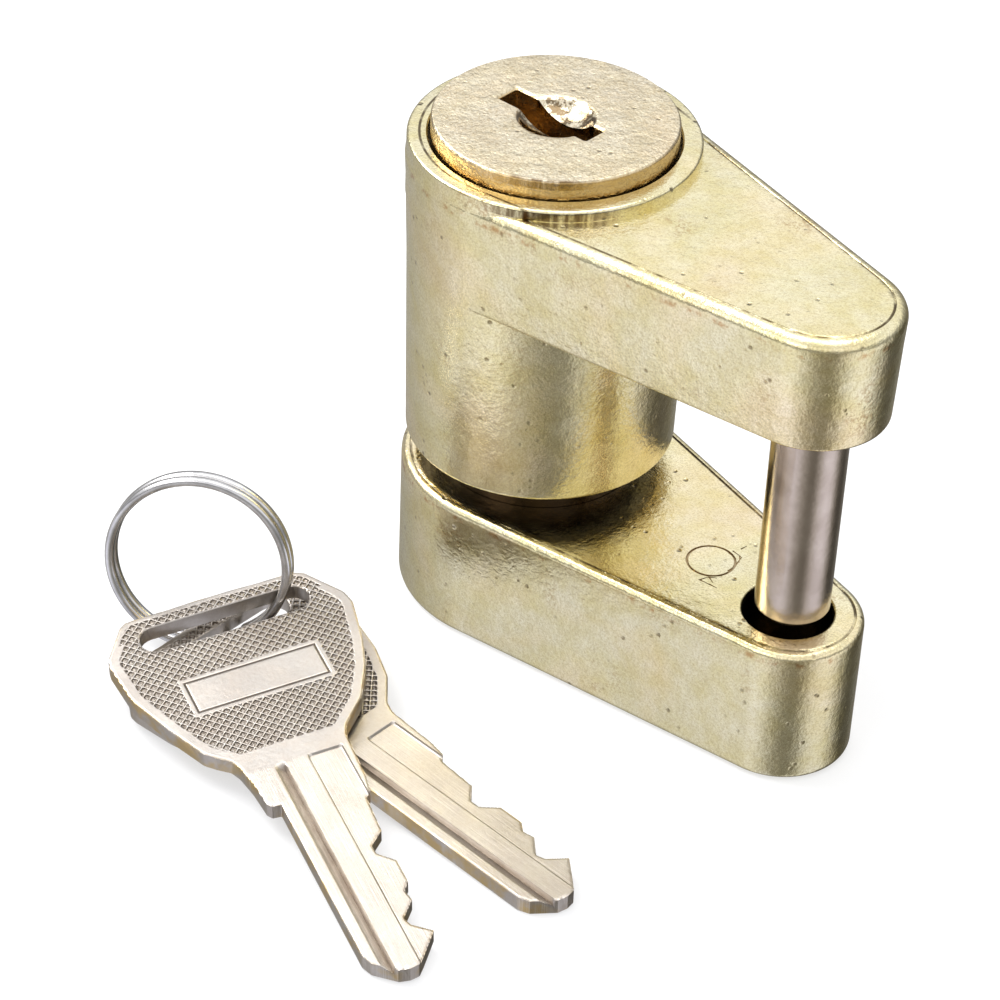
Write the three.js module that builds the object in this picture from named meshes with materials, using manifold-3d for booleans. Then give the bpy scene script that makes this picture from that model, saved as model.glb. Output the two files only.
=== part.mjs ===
// Hitch pin lock: a two-part locking body with a steel shackle pin, a keyed plug and two keys
// on a split ring. The head is raised off the base.
// Frame: origin on the barrel's axis at the base's underside, +X towards the shackle pin, +Z up,
// millimetres. The keys and their ring lie on the -Y side.
import * as THREE from 'three';
import { mergeVertices } from 'three/addons/utils/BufferGeometryUtils.js';
import Module from 'manifold-3d';

// ---- driving dimensions ----------------------------------------------------------------------
// In the groups below, bottom, top and floor are heights, and half is half a width.
const ROUND = 48; // facets round a full circle
const GAP = 0.1; // running clearance between neighbouring parts
const OVERCUT = 1; // how far a cut runs past the face it opens through

const PIN = { x: 30.4, radius: 3.175, bottom: 13.85, top: 42.4 }; // quarter-inch shackle pin

const BASE = { height: 13.44, bigRadius: 12.08, smallRadius: 6.17, length: PIN.x };
const PIN_HOLE = { x: 30.05, radius: 3.85, floor: 4.5 }; // hole the pin drops into
const MARK = { x: 21.4, y: -0.25, radius: 2.1, depth: 0.12 }; // round mark on the base's top

const POST = {
  footRadius: 5.0, bottom: 3.4,
  shoulderRadius: 9.0, shoulderTop: 16.5,
  neckRadius: 3.6,
  headRadius: 5.0, headBottom: 18.9, headTop: 20.1,
};
const POST_BORE = { radius: POST.footRadius + 0.05, floor: 3.2 };

const RAISE = 2.73; // gap between barrel and base
const BARREL = { bottom: BASE.height + RAISE, radius: 11.79, blendTop: 36 };
const ARM = { bottom: 34.15, top: 44.48, bigRadius: 12.39, smallRadius: 6.62, length: 30.2 };
const DRAFT = 0.03; // radius lost for each mm below the arm's top
const BOSS = { bottom: 40, top: 45.43, radius: 12.3 };

const FACE = { radius: 10.34, bottom: 43.6, top: 47.06, wellRadius: 10.58 }; // turning disc
const DIMPLE = { radius: 3.3, depth: 1.45, steps: 6 }; // spherical bowl in the face

const KEYWAY = {
  turn: 4.5, // degrees from the arm
  half: 1.15,
  face: [-5.4, 4.2], // ends in the face disc
  body: [-4.3, 4.1], // ends in the plug below it
  floor: 25.4,
};
const PLUG = { radius: 6.0, bottom: 24.3 };
const TAIL = { radius: 3.0, bottom: 22.95, flat: 2.2 };
const SHELL = { outer: 8.2, inner: PLUG.radius + GAP, bottom: 25.45, top: 43.3 };
const SHELL_GROOVE = { count: 4, outer: 7.1, half: 2.7, bottom: 27.4 };

const WAFER = { count: 5, firstDepth: 5.0, pitch: 3.2, thickness: 1.0, half: 2.5, radius: 5.95 };
const WAFER_WINDOW = { halfLength: 3.6, half: 1.25 };
const WAFER_EAR = { half: 0.5, reach: 3.9 };
const WAFER_SPRING = { from: -3.4, to: -0.68, y: 3.33, radius: 0.36, wire: 0.11, turns: 3.25 };
const SPRING_POCKET = { x: [-3.6, 1.6], y: [2.4, 4.1] };

const LATCH = { bottom: 20.2, top: 21.5, radius: 8.8, half: 8.0, hole: POST.headRadius + 0.2 };
const LATCH_TRAVEL = 1.2; // for a quarter turn of the plug
const DRIVE_PIN = { orbit: 7.4, radius: 0.6, start: -45, bottom: 20.3 }; // start in degrees
const CAM = { bottom: 23.5, top: 24.2, radius: 8.5 };
const CLIP = { bottom: 23.15, top: 23.45, outer: 4.3, inner: 2.52, from: 35, to: 325 };
const END_RING = { outer: 10.15, inner: 8.0, skirtInner: 9.25, bottom: 16.35, top: 20.0 };
const RECESS_RADIUS = END_RING.outer + 0.05;

// ---- solid helpers ---------------------------------------------------------------------------
const wasm = await Module();
wasm.setup();
const { degToRad } = THREE.MathUtils;
const toVectors = (points) => points.map(([x, y]) => new THREE.Vector2(x, y));

// Welds a geometry into a closed solid with its faces outwards.
function solid(geometry) {
  const bare = new THREE.BufferGeometry();
  bare.setAttribute('position', geometry.attributes.position);
  bare.setIndex(geometry.index);
  const welded = mergeVertices(bare, 1e-4);
  const corners = welded.index.array;
  const triangles = [];
  for (let i = 0; i < corners.length; i += 3) {
    const [a, b, c] = corners.slice(i, i + 3);
    if (a !== b && b !== c && a !== c) triangles.push([a, b, c]);
  }
  const build = (faces) => new wasm.Manifold(new wasm.Mesh({
    numProp: 3,
    vertProperties: Float32Array.from(welded.attributes.position.array),
    triVerts: Uint32Array.from(faces.flat()),
  }));
  const built = build(triangles);
  return built.volume() < 0 ? build(triangles.map(([a, b, c]) => [b, a, c])) : built;
}

function geometryOf(manifold) {
  const mesh = manifold.getMesh();
  const geometry = new THREE.BufferGeometry();
  const positions = Float32Array.from(mesh.vertProperties);
  geometry.setAttribute('position', new THREE.BufferAttribute(positions, 3));
  geometry.setIndex(new THREE.BufferAttribute(Uint32Array.from(mesh.triVerts), 1));
  geometry.computeVertexNormals();
  return geometry;
}

// Solid of revolution about +Z from [radius, z] points.
function turned(profile, facets = ROUND) {
  const geometry = new THREE.LatheGeometry(toVectors(profile), facets);
  geometry.rotateX(Math.PI / 2);
  return solid(geometry);
}

function disc(radius, bottom, top, x = 0, y = 0, facets = ROUND) {
  return turned([[0, bottom], [radius, bottom], [radius, top], [0, top]], facets)
    .translate([x, y, 0]);
}

// Upright prism from an outline, with optional holes.
function prism(outline, bottom, top, holes = []) {
  const shape = new THREE.Shape(toVectors(outline));
  for (const hole of holes) shape.holes.push(new THREE.Path(toVectors(hole)));
  const settings = { depth: top - bottom, bevelEnabled: false, steps: 1 };
  const geometry = new THREE.ExtrudeGeometry(shape, settings);
  geometry.translate(0, 0, bottom);
  return solid(geometry);
}

// Box from its [low, high] range on each axis.
function box(...ranges) {
  const geometry = new THREE.BoxGeometry(...ranges.map(([low, high]) => high - low));
  geometry.translate(...ranges.map(([low, high]) => (low + high) / 2));
  return solid(geometry);
}

// Closed solid through sections of [x, y, z] points, equal in count, with both ends capped.
function stitched(sections, capTriangles) {
  const count = sections[0].length;
  const index = [];
  for (let k = 0; k + 1 < sections.length; k++) {
    for (let i = 0; i < count; i++) {
      const here = k * count + i;
      const next = k * count + ((i + 1) % count);
      index.push(here, next, next + count, here, next + count, here + count);
    }
  }
  const last = (sections.length - 1) * count;
  for (const [a, b, c] of capTriangles) index.push(a, c, b, last + a, last + b, last + c);
  const geometry = new THREE.BufferGeometry();
  geometry.setAttribute('position', new THREE.Float32BufferAttribute(sections.flat(2), 3));
  geometry.setIndex(index);
  return solid(geometry);
}

// Moves a part drawn at the origin so that its X and Y axes take the given directions.
function placed(part, axisX, axisY, origin) {
  const axisZ = new THREE.Vector3().crossVectors(axisX, axisY);
  const matrix = new THREE.Matrix4().makeBasis(axisX, axisY, axisZ).setPosition(...origin);
  return part.transform([...matrix.elements]);
}

// Unit vector from a heading about +Z and a rise above the XY plane, in degrees.
function direction(heading, rise) {
  const turn = degToRad(heading);
  const tilt = degToRad(rise);
  const level = Math.cos(tilt);
  return new THREE.Vector3(Math.cos(turn) * level, Math.sin(turn) * level, Math.sin(tilt));
}

const alignToKeyway = (part) => part.rotate([0, 0, KEYWAY.turn]);

// ---- outline helpers -------------------------------------------------------------------------
function circle(radius, count = ROUND) {
  return Array.from({ length: count }, (_, i) => {
    const angle = (2 * Math.PI * i) / count;
    return [radius * Math.cos(angle), radius * Math.sin(angle)];
  });
}

// Arc with both its ends included; angles in radians.
function arc(radius, from, to, steps, x = 0, y = 0) {
  return Array.from({ length: steps + 1 }, (_, i) => {
    const angle = from + ((to - from) * i) / steps;
    return [x + radius * Math.cos(angle), y + radius * Math.sin(angle)];
  });
}

// A big circle at the origin and a small one at x = length, joined by their tangents.
function teardrop(bigRadius, smallRadius, length) {
  const tangent = Math.acos((bigRadius - smallRadius) / length);
  return [
    ...arc(smallRadius, -tangent, tangent, 20, length),
    ...arc(bigRadius, tangent, 2 * Math.PI - tangent, 40),
  ];
}

// [inset, height] steps up a quarter-round edge.
function quarterRound(radius, steps) {
  return Array.from({ length: steps + 1 }, (_, i) => {
    const angle = (Math.PI / 2) * (i / steps);
    return [radius * (1 - Math.cos(angle)), radius * Math.sin(angle)];
  });
}

// Teardrop block with rounded rims; each end gives its radii, z, edge radius and edge steps.
function roundedTeardrop(bottom, top, length) {
  const section = (end, inset, z) => (
    teardrop(end.bigRadius - inset, end.smallRadius - inset, length).map(([x, y]) => [x, y, z]));
  const sections = [
    ...quarterRound(bottom.edge, bottom.steps).reverse()
      .map(([inset, height]) => section(bottom, inset, bottom.z + bottom.edge - height)),
    ...quarterRound(top.edge, top.steps)
      .map(([inset, height]) => section(top, inset, top.z - top.edge + height)),
  ];
  return stitched(sections, THREE.ShapeUtils.triangulateShape(toVectors(sections[0]), []));
}

// ---- base and locking post -------------------------------------------------------------------
function baseBody() {
  const { height, bigRadius, smallRadius, length } = BASE;
  const above = height + OVERCUT;
  return roundedTeardrop(
    { bigRadius, smallRadius, z: 0, edge: 0.75, steps: 4 },
    { bigRadius, smallRadius, z: height, edge: 0.7, steps: 4 },
    length,
  )
    .subtract(disc(PIN_HOLE.radius, PIN_HOLE.floor, above, PIN_HOLE.x, 0, 40))
    .subtract(disc(POST_BORE.radius, POST_BORE.floor, above))
    .subtract(disc(MARK.radius, height - MARK.depth, above, MARK.x, MARK.y, 32));
}

// Shoulder, neck and mushroom head that the latch hooks under.
function lockingPost() {
  const { footRadius, bottom, shoulderRadius, shoulderTop } = POST;
  const { neckRadius, headRadius, headBottom, headTop } = POST;
  const footChamfer = 0.3;
  const shoulderChamfer = 0.25;
  const headChamfer = 0.3;
  return turned([
    [0, bottom],
    [footRadius - footChamfer, bottom],
    [footRadius, bottom + footChamfer],
    [footRadius, BASE.height],
    [shoulderRadius, BASE.height],
    [shoulderRadius, shoulderTop - shoulderChamfer],
    [shoulderRadius - shoulderChamfer, shoulderTop],
    [neckRadius, shoulderTop],
    [neckRadius, headBottom],
    [headRadius, headBottom],
    [headRadius, headTop - headChamfer],
    [headRadius - headChamfer, headTop],
    [0, headTop],
  ]);
}

// ---- lock body: barrel, teardrop arm and boss in one casting ---------------------------------
const drafted = (radius, z) => radius - DRAFT * (ARM.top - z);

function arm() {
  const end = (z, edge, steps) => ({
    bigRadius: drafted(ARM.bigRadius, z),
    smallRadius: drafted(ARM.smallRadius, z),
    z, edge, steps,
  });
  return roundedTeardrop(end(ARM.bottom, 0.4, 3), end(ARM.top, 1.05, 5), ARM.length);
}

function barrel() {
  const { bottom, radius, blendTop } = BARREL;
  const sink = 0.005; // keeps the barrel just inside the arm's wall
  return turned([
    [0, bottom],
    [radius - 0.45, bottom],
    [radius - 0.13, bottom + 0.13],
    [radius, bottom + 0.45],
    [drafted(ARM.bigRadius, ARM.bottom) - sink, ARM.bottom],
    [drafted(ARM.bigRadius, blendTop) - sink, blendTop],
    [0, blendTop],
  ], 60);
}

function boss() {
  const { bottom, top, radius } = BOSS;
  return turned([
    [0, bottom],
    [radius, bottom],
    [radius, top - 0.35],
    [radius - 0.1, top - 0.1],
    [radius - 0.35, top],
    [0, top],
  ], 60);
}

// Stepped bore for the end ring, latch, cam, cylinder shell and face disc, from the bottom up.
function stepBore() {
  const latchFloor = LATCH.bottom - GAP;
  const latchRoof = LATCH.top + GAP;
  const latchRadius = 7.8;
  const camRadius = 9.0;
  const camRoof = 24.6;
  const throatRadius = 7.0;
  const shellFloor = 25.4;
  const shellRadius = SHELL.outer + GAP;
  const wellFloor = SHELL.top + GAP;
  return turned([
    [0, 16], [RECESS_RADIUS, 16],
    [RECESS_RADIUS, latchFloor], [latchRadius, latchFloor],
    [latchRadius, latchRoof], [camRadius, latchRoof],
    [camRadius, camRoof], [throatRadius, camRoof],
    [throatRadius, shellFloor], [shellRadius, shellFloor],
    [shellRadius, wellFloor], [FACE.wellRadius, wellFloor],
    [FACE.wellRadius, BOSS.top + OVERCUT], [0, BOSS.top + OVERCUT],
  ]);
}

function lockBody() {
  const latchHalf = LATCH.half + GAP;
  const latchPocket = prism(circle(RECESS_RADIUS), END_RING.top, LATCH.top + GAP)
    .intersect(box([-11, 11], [-latchHalf, latchHalf], [19, 22]));
  const pinHole = disc(PIN.radius + 0.04, ARM.bottom - OVERCUT, PIN.top + GAP, PIN.x, 0, 32);
  return arm().add(barrel()).add(boss())
    .subtract(stepBore())
    .subtract(latchPocket)
    .subtract(pinHole);
}

function shacklePin() {
  const { radius, bottom, top, x } = PIN;
  return turned([
    [0, bottom],
    [radius - 0.55, bottom],
    [radius, bottom + 0.6],
    [radius, top],
    [0, top],
  ], 32).translate([x, 0, 0]);
}

// Ring in the barrel's mouth, with an inward lip at its top.
function endRing() {
  const { outer, inner, skirtInner, bottom, top } = END_RING;
  const lipBottom = 19.3;
  return turned([
    [skirtInner, bottom], [outer, bottom], [outer, top],
    [inner, top], [inner, lipBottom], [skirtInner, lipBottom], [skirtInner, bottom],
  ]);
}

// ---- lock cylinder ---------------------------------------------------------------------------
function cylinderShell() {
  const { outer, inner, bottom, top } = SHELL;
  const groove = SHELL_GROOVE;
  let shell = turned([
    [inner, bottom], [outer, bottom], [outer, top], [inner, top], [inner, bottom],
  ]);
  for (let i = 0; i < groove.count; i++) {
    const cut = box([5, groove.outer], [-groove.half, groove.half], [groove.bottom, 44]);
    shell = shell.subtract(cut.rotate([0, 0, (360 / groove.count) * i + KEYWAY.turn]));
  }
  return shell;
}

const waferHeight = (i) => FACE.top - WAFER.firstDepth - WAFER.pitch * i;

// Keyway, wafer slots and spring pockets.
function plugCuts() {
  const across = [-KEYWAY.half, KEYWAY.half];
  const slotHalf = WAFER.half + GAP;
  let cuts = box(KEYWAY.face, across, [42.9, 48])
    .add(box(KEYWAY.body, across, [KEYWAY.floor, 44]));
  for (let i = 0; i < WAFER.count; i++) {
    const reach = WAFER.thickness / 2 + GAP;
    const heights = [waferHeight(i) - reach, waferHeight(i) + reach];
    cuts = cuts
      .add(box([-7, 7], [-slotHalf, slotHalf], heights))
      .add(box(SPRING_POCKET.x, SPRING_POCKET.y, heights));
  }
  return alignToKeyway(cuts);
}

function lockPlug() {
  const sphere = (DIMPLE.radius ** 2 + DIMPLE.depth ** 2) / (2 * DIMPLE.depth);
  const sphereZ = FACE.top - DIMPLE.depth + sphere;
  const bowl = Array.from({ length: DIMPLE.steps + 1 }, (_, i) => {
    const radius = DIMPLE.radius * (1 - i / DIMPLE.steps);
    return [radius, sphereZ - Math.sqrt(sphere ** 2 - radius ** 2)];
  });
  const clipGroove = { radius: 2.45, bottom: CLIP.bottom - 0.03, top: CLIP.top + 0.03 };
  const faceChamfer = 0.35;
  return turned([
    [0, TAIL.bottom],
    [TAIL.radius - 0.2, TAIL.bottom],
    [TAIL.radius, TAIL.bottom + 0.12],
    [TAIL.radius, clipGroove.bottom],
    [clipGroove.radius, clipGroove.bottom],
    [clipGroove.radius, clipGroove.top],
    [TAIL.radius, clipGroove.top],
    [TAIL.radius, PLUG.bottom],
    [PLUG.radius, PLUG.bottom],
    [PLUG.radius, FACE.bottom],
    [FACE.radius, FACE.bottom],
    [FACE.radius, FACE.top - faceChamfer],
    [FACE.radius - faceChamfer, FACE.top],
    ...bowl,
  ], 56)
    .subtract(box([TAIL.flat, 4], [-4, 4], [22, PLUG.bottom]))
    .subtract(plugCuts());
}

// Flat plate with a window for the key and an ear for the spring.
function wafer(i) {
  const { radius, half, thickness } = WAFER;
  const ear = WAFER_EAR;
  const corner = Math.asin(half / radius);
  const outline = [
    ...arc(radius, -corner, corner, 6),
    [ear.half, half], [ear.half, ear.reach], [-ear.half, ear.reach], [-ear.half, half],
    ...arc(radius, Math.PI - corner, Math.PI + corner, 6),
  ];
  const shift = 0.35 * ((i * 3) % 5) / 4 - 0.15; // the window's place differs by wafer
  const left = -WAFER_WINDOW.halfLength + shift;
  const right = WAFER_WINDOW.halfLength + shift;
  const side = WAFER_WINDOW.half;
  const window = [[left, -side], [right, -side], [right, side], [left, side]];
  const z = waferHeight(i);
  return alignToKeyway(prism(outline, z - thickness / 2, z + thickness / 2, [window]));
}

// Helix along X.
class Coil extends THREE.Curve {
  getPoint(t, target = new THREE.Vector3()) {
    const { from, to, radius, turns } = WAFER_SPRING;
    const angle = 2 * Math.PI * turns * t;
    return target.set(
      from + (to - from) * t,
      radius * Math.cos(angle),
      radius * Math.sin(angle),
    );
  }
}

function waferSpring(i) {
  const section = new THREE.Shape(toVectors(circle(WAFER_SPRING.wire, 4)));
  const settings = { steps: 20, extrudePath: new Coil(), bevelEnabled: false };
  const spring = solid(new THREE.ExtrudeGeometry(section, settings));
  return alignToKeyway(spring.translate([0, WAFER_SPRING.y, waferHeight(i)]));
}

// ---- drive cam on the plug's tail, its clip, and the latch plate it slides -------------------
function driveCam() {
  const flat = TAIL.flat + 0.05;
  const tailHole = circle(TAIL.radius + 0.06, 32).map(([x, y]) => [Math.min(x, flat), y]);
  const { orbit, radius, bottom } = DRIVE_PIN;
  const start = degToRad(DRIVE_PIN.start);
  const pinX = orbit * Math.cos(start);
  const pinY = orbit * Math.sin(start);
  return prism(circle(CAM.radius), CAM.bottom, CAM.top, [tailHole])
    .add(disc(radius, bottom, CAM.bottom + 0.2, pinX, pinY, 20));
}

function camClip() {
  const from = degToRad(CLIP.from);
  const to = degToRad(CLIP.to);
  const outline = [
    ...arc(CLIP.outer, from, to, 28),
    ...arc(CLIP.inner, from, to, 28).reverse(),
  ];
  return prism(outline, CLIP.bottom, CLIP.top);
}

// The slot follows the drive pin as seen from the sliding plate, over a quarter turn.
function latchPlate() {
  const cutHeights = [19, 23];
  const slotHalf = DRIVE_PIN.radius + GAP;
  const [firstTurn, lastTurn] = [-1, 91]; // degrees, a little past each end of the turn
  const steps = 20;
  const pinAt = (turn) => {
    const angle = degToRad(turn + DRIVE_PIN.start);
    return new THREE.Vector2(
      DRIVE_PIN.orbit * Math.cos(angle) - (LATCH_TRAVEL * turn) / 90,
      DRIVE_PIN.orbit * Math.sin(angle),
    );
  };
  const left = [];
  const right = [];
  for (let i = 0; i <= steps; i++) {
    const turn = firstTurn + ((lastTurn - firstTurn) * i) / steps;
    const { x, y } = pinAt(turn);
    const heading = pinAt(turn + 0.1).sub(pinAt(turn)).normalize();
    left.push([x - heading.y * slotHalf, y + heading.x * slotHalf]);
    right.push([x + heading.y * slotHalf, y - heading.x * slotHalf]);
  }
  let plate = prism(circle(LATCH.radius), LATCH.bottom, LATCH.top, [circle(LATCH.hole)])
    .intersect(box([-10, 10], [-LATCH.half, LATCH.half], cutHeights))
    .subtract(prism([...left.reverse(), ...right], ...cutHeights));
  for (const turn of [firstTurn, lastTurn]) {
    const { x, y } = pinAt(turn);
    plate = plate.subtract(disc(slotHalf, ...cutHeights, x, y, 20));
  }
  return plate;
}

// ---- keys ------------------------------------------------------------------------------------
// Drawn flat: x from the tip to the bow, y across with the cuts on the negative side, upper face
// at z = 0.
const KEY_THICKNESS = 1.5;
const KEY_SLOT = { x: 42.05, half: 7.7, radius: 1.47 }; // long slot in the bow
const KEY_PANEL = { x: 34.26, length: 11.9, width: 3.75, line: 0.18, depth: 0.12 };

// tip: the upper face's tip; heading: of the bow from the tip; rise: towards the bow;
// roll: about the key's length. Angles in degrees.
const KEY_A = { tip: [32.2, -43.46, 1.66], heading: 160.97, rise: 4.7, roll: -4.1 };
const KEY_B = { tip: [34.35, -28.45, 1.66], heading: 182.4, rise: 1.55, roll: -2.6 };

// [x, y] round the key: the cut edge from the tip, the bow, and back along the plain edge
const KEY_OUTLINE = [
  [0.2, 0.3], [0.3, -0.5], [1.0, -1.15], [3.15, -2.95], [4.41, -1.5], [5.24, -1.25],
  [6.75, -2.6], [7.8, -2.4], [8.63, -3.05], [9.6, -3.05], [11.02, -3.05], [12.29, -1.85],
  [13.23, -1.8], [14.43, -3.15], [18.2, -3.4], [18.6, -3.9], [20.28, -4.2], [23.06, -4.35],
  [25.2, -4.45], [26.33, -4.95], [27.4, -6.0], [28.67, -7.25], [32.0, -9.0], [34.93, -9.95],
  [39.59, -10.87], [41.0, -10.6], [44.5, -8.3], [44.95, -7.5], [45.1, 0], [44.95, 8.0],
  [44.5, 8.7], [41.2, 10.9], [40.36, 11.0], [35.98, 10.6], [31.6, 8.9], [27.9, 7.2],
  [27.06, 6.4], [26.2, 5.4], [25.24, 5.0], [23.09, 4.6], [20.66, 4.4], [20.2, 4.1],
  [20.1, 3.33], [2.9, 3.3], [1.9, 2.9], [0.4, 1.2],
];
// [y, z] section of the warding groove: a sloped floor that ends in a steep wall
const KEY_GROOVE = [[2.35, 0.5], [2.35, 0], [1.5, -0.55], [1.45, 0.5]];
const KEY_GROOVE_END = 24.3;
// [x, y] of the shallow step along the cut edge
const KEY_STEP = [[-1, -0.6], [-1, -6], [18.3, -6], [18.3, -3.2], [24.4, -3.2], [24.4, -0.6]];
const KEY_STEP_DEPTH = 0.25;

// Outline of the bow's panel, drawn in by the given inset.
function panelOutline(inset) {
  const halfX = KEY_PANEL.width / 2 - inset;
  const halfY = KEY_PANEL.length / 2 - inset;
  return [[-1, -1], [1, -1], [1, 1], [-1, 1]]
    .map(([x, y]) => [KEY_PANEL.x + x * halfX, y * halfY]);
}

function key({ tip, heading, rise, roll }) {
  const { x, half, radius } = KEY_SLOT;
  const slot = [
    ...arc(radius, 0, Math.PI, 10, x, half - radius),
    ...arc(radius, Math.PI, 2 * Math.PI, 10, x, radius - half),
  ];
  const groove = prism(KEY_GROOVE, -OVERCUT, KEY_GROOVE_END).rotate([90, 0, 90]);
  const frame = prism(panelOutline(0), -KEY_PANEL.depth, OVERCUT, [panelOutline(KEY_PANEL.line)]);
  const flatKey = prism(KEY_OUTLINE, -KEY_THICKNESS, 0, [slot])
    .subtract(groove)
    .subtract(prism(KEY_STEP, -KEY_STEP_DEPTH, OVERCUT))
    .subtract(frame);

  const along = direction(heading, rise);
  const side = direction(heading + 90, 0);
  const normal = new THREE.Vector3().crossVectors(along, side);
  const across = side.multiplyScalar(Math.cos(degToRad(roll)))
    .addScaledVector(normal, Math.sin(degToRad(roll)));
  return placed(flatKey, along, across, tip);
}

// ---- split ring: flat spring wire wound nearly twice -----------------------------------------
const SPLIT = {
  centre: [-12.025, -28.821, 8.184],
  heading: 45.11, riseX: 39.29, riseY: 79.3, // degrees: the ring's X heading, its axes' rises
  radius: 7.784, pitch: 1.069, turns: 1.95, start: -1.75, // start in radians
  halfRadial: 0.445, halfAxial: 0.5, // half sizes of the wire
};

function keyRing() {
  const steps = 84;
  const corners = 6;
  const squared = (value) => Math.sign(value) * Math.abs(value) ** 0.75; // squarer than an oval
  const sections = Array.from({ length: steps + 1 }, (_, k) => {
    const turn = (SPLIT.turns * k) / steps;
    const angle = 2 * Math.PI * turn + SPLIT.start;
    const height = SPLIT.pitch * (turn - SPLIT.turns / 2);
    return Array.from({ length: corners }, (_, i) => {
      const corner = (2 * Math.PI * (i + 0.5)) / corners;
      const radius = SPLIT.radius + SPLIT.halfRadial * squared(Math.cos(corner));
      const z = height + SPLIT.halfAxial * squared(Math.sin(corner));
      return [radius * Math.cos(angle), radius * Math.sin(angle), z];
    });
  });
  const fan = Array.from({ length: corners - 2 }, (_, i) => [0, i + 1, i + 2]);

  const axisX = direction(SPLIT.heading, SPLIT.riseX);
  const axisY = direction(SPLIT.heading + 90, SPLIT.riseY);
  axisY.addScaledVector(axisX, -axisY.dot(axisX)).normalize();
  return placed(stitched(sections, fan), axisX, axisY, SPLIT.centre);
}

// ---- assembly --------------------------------------------------------------------------------
const GOLD = 0xcdb67c;
const STEEL = 0xb9b4ae;
const DARK = 0x2a221c;
const NICKEL = 0xcfc3b4;
const BRASS = 0xc9a458;
const ZINC = 0xa9a69f;
const CASTING = { color: GOLD, metalness: 0.9, roughness: 0.42 };
const BRIGHT_STEEL = { color: STEEL, metalness: 1.0, roughness: 0.25 };
const KEY_METAL = { color: NICKEL, metalness: 0.9, roughness: 0.4 };

const group = new THREE.Group();
function add(name, part, finish) {
  const mesh = new THREE.Mesh(geometryOf(part), new THREE.MeshStandardMaterial(finish));
  mesh.name = name;
  group.add(mesh);
}

add('base_body', baseBody(), CASTING);
add('locking_post', lockingPost(), { color: DARK, metalness: 0.8, roughness: 0.25 });
add('lock_body', lockBody(), CASTING);
add('shackle_pin', shacklePin(), BRIGHT_STEEL);
add('end_ring', endRing(), { color: ZINC, metalness: 0.9, roughness: 0.5 });
add('cylinder_shell', cylinderShell(), { color: BRASS, metalness: 0.9, roughness: 0.4 });
add('lock_plug', lockPlug(), { color: GOLD, metalness: 0.9, roughness: 0.5 });
for (let i = 0; i < WAFER.count; i++) {
  add(`wafer_${i + 1}`, wafer(i), { color: BRASS, metalness: 0.9, roughness: 0.35 });
  add(`wafer_spring_${i + 1}`, waferSpring(i), { color: STEEL, metalness: 1.0, roughness: 0.3 });
}
add('drive_cam', driveCam(), { color: ZINC, metalness: 0.9, roughness: 0.45 });
add('cam_clip', camClip(), { color: STEEL, metalness: 1.0, roughness: 0.35 });
add('latch_plate', latchPlate(), { color: STEEL, metalness: 0.95, roughness: 0.4 });
add('key_a', key(KEY_A), KEY_METAL);
add('key_b', key(KEY_B), KEY_METAL);
add('key_ring', keyRing(), BRIGHT_STEEL);

export default group;
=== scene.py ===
"""A teardrop-shaped two-part lock, with two keys and a split ring beside it.

The lock stands on the floor at z = 0 with its cylinder axis on Z. The small end of the teardrop,
with the shackle pin, lies towards +X. The base fills the bottom, the head sits over it, and the
plug's round face looks up. The camera looks down from +X -Y; the keys and the ring lie on the -Y
side. Sizes are in millimetres and angles in degrees unless a name says otherwise.
"""
import math
from functools import cached_property

import bmesh
import bpy
import numpy as np
from mathutils import Matrix, Vector


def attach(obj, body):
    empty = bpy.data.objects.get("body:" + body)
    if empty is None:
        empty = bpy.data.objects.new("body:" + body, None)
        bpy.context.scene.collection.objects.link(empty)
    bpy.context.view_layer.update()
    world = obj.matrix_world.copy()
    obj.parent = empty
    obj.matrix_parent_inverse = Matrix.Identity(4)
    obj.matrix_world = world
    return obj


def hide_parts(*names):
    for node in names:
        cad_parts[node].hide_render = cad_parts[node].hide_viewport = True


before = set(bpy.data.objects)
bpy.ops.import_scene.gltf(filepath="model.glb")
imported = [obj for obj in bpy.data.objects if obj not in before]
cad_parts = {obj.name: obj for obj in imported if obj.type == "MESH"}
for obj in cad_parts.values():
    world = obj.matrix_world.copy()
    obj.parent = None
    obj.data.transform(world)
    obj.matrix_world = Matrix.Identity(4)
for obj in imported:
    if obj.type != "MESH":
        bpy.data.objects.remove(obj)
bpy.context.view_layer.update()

MM = 0.001

# ---------------------------------------------------------------- shared sizes
BASE_H = 13.44
BASE_BIG_R, BASE_SMALL_R, BASE_LENGTH = 12.08, 6.17, 30.4
BASE_FILLET = 0.7
BASE_GROOVE_INSET = 0.84
PIN_X = BASE_LENGTH
SOCKET_X, SOCKET_R = 30.05, 3.85        # hole in the base under the pin
WITNESS = (21.4, -0.25)                 # centre of the ejector mark on the base's top

ARM_Z0, ARM_Z1, ARM_LENGTH = 34.15, 44.48, 30.2
ARM_BIG_R, ARM_SMALL_R = 12.39, 6.62    # at ARM_Z1
ARM_TAPER = 0.03
ARM_FILLET = 1.05
BARREL_Z = 16.17
BOSS_R, BOSS_Z = 12.3, 45.43
WELL_R = 10.58                          # recess round the plug's face

FACE_R, FACE_Z = 10.34, 47.06
CUP_R, CUP_DEPTH = 3.3, 1.45            # dimple in the face
KEYWAY_TURN = 4.5
WAFER_Z = [FACE_Z - (5.0 + 3.2 * i) for i in range(5)]
WAFER_R, WAFER_HALF_W = 5.95, 2.5

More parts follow.
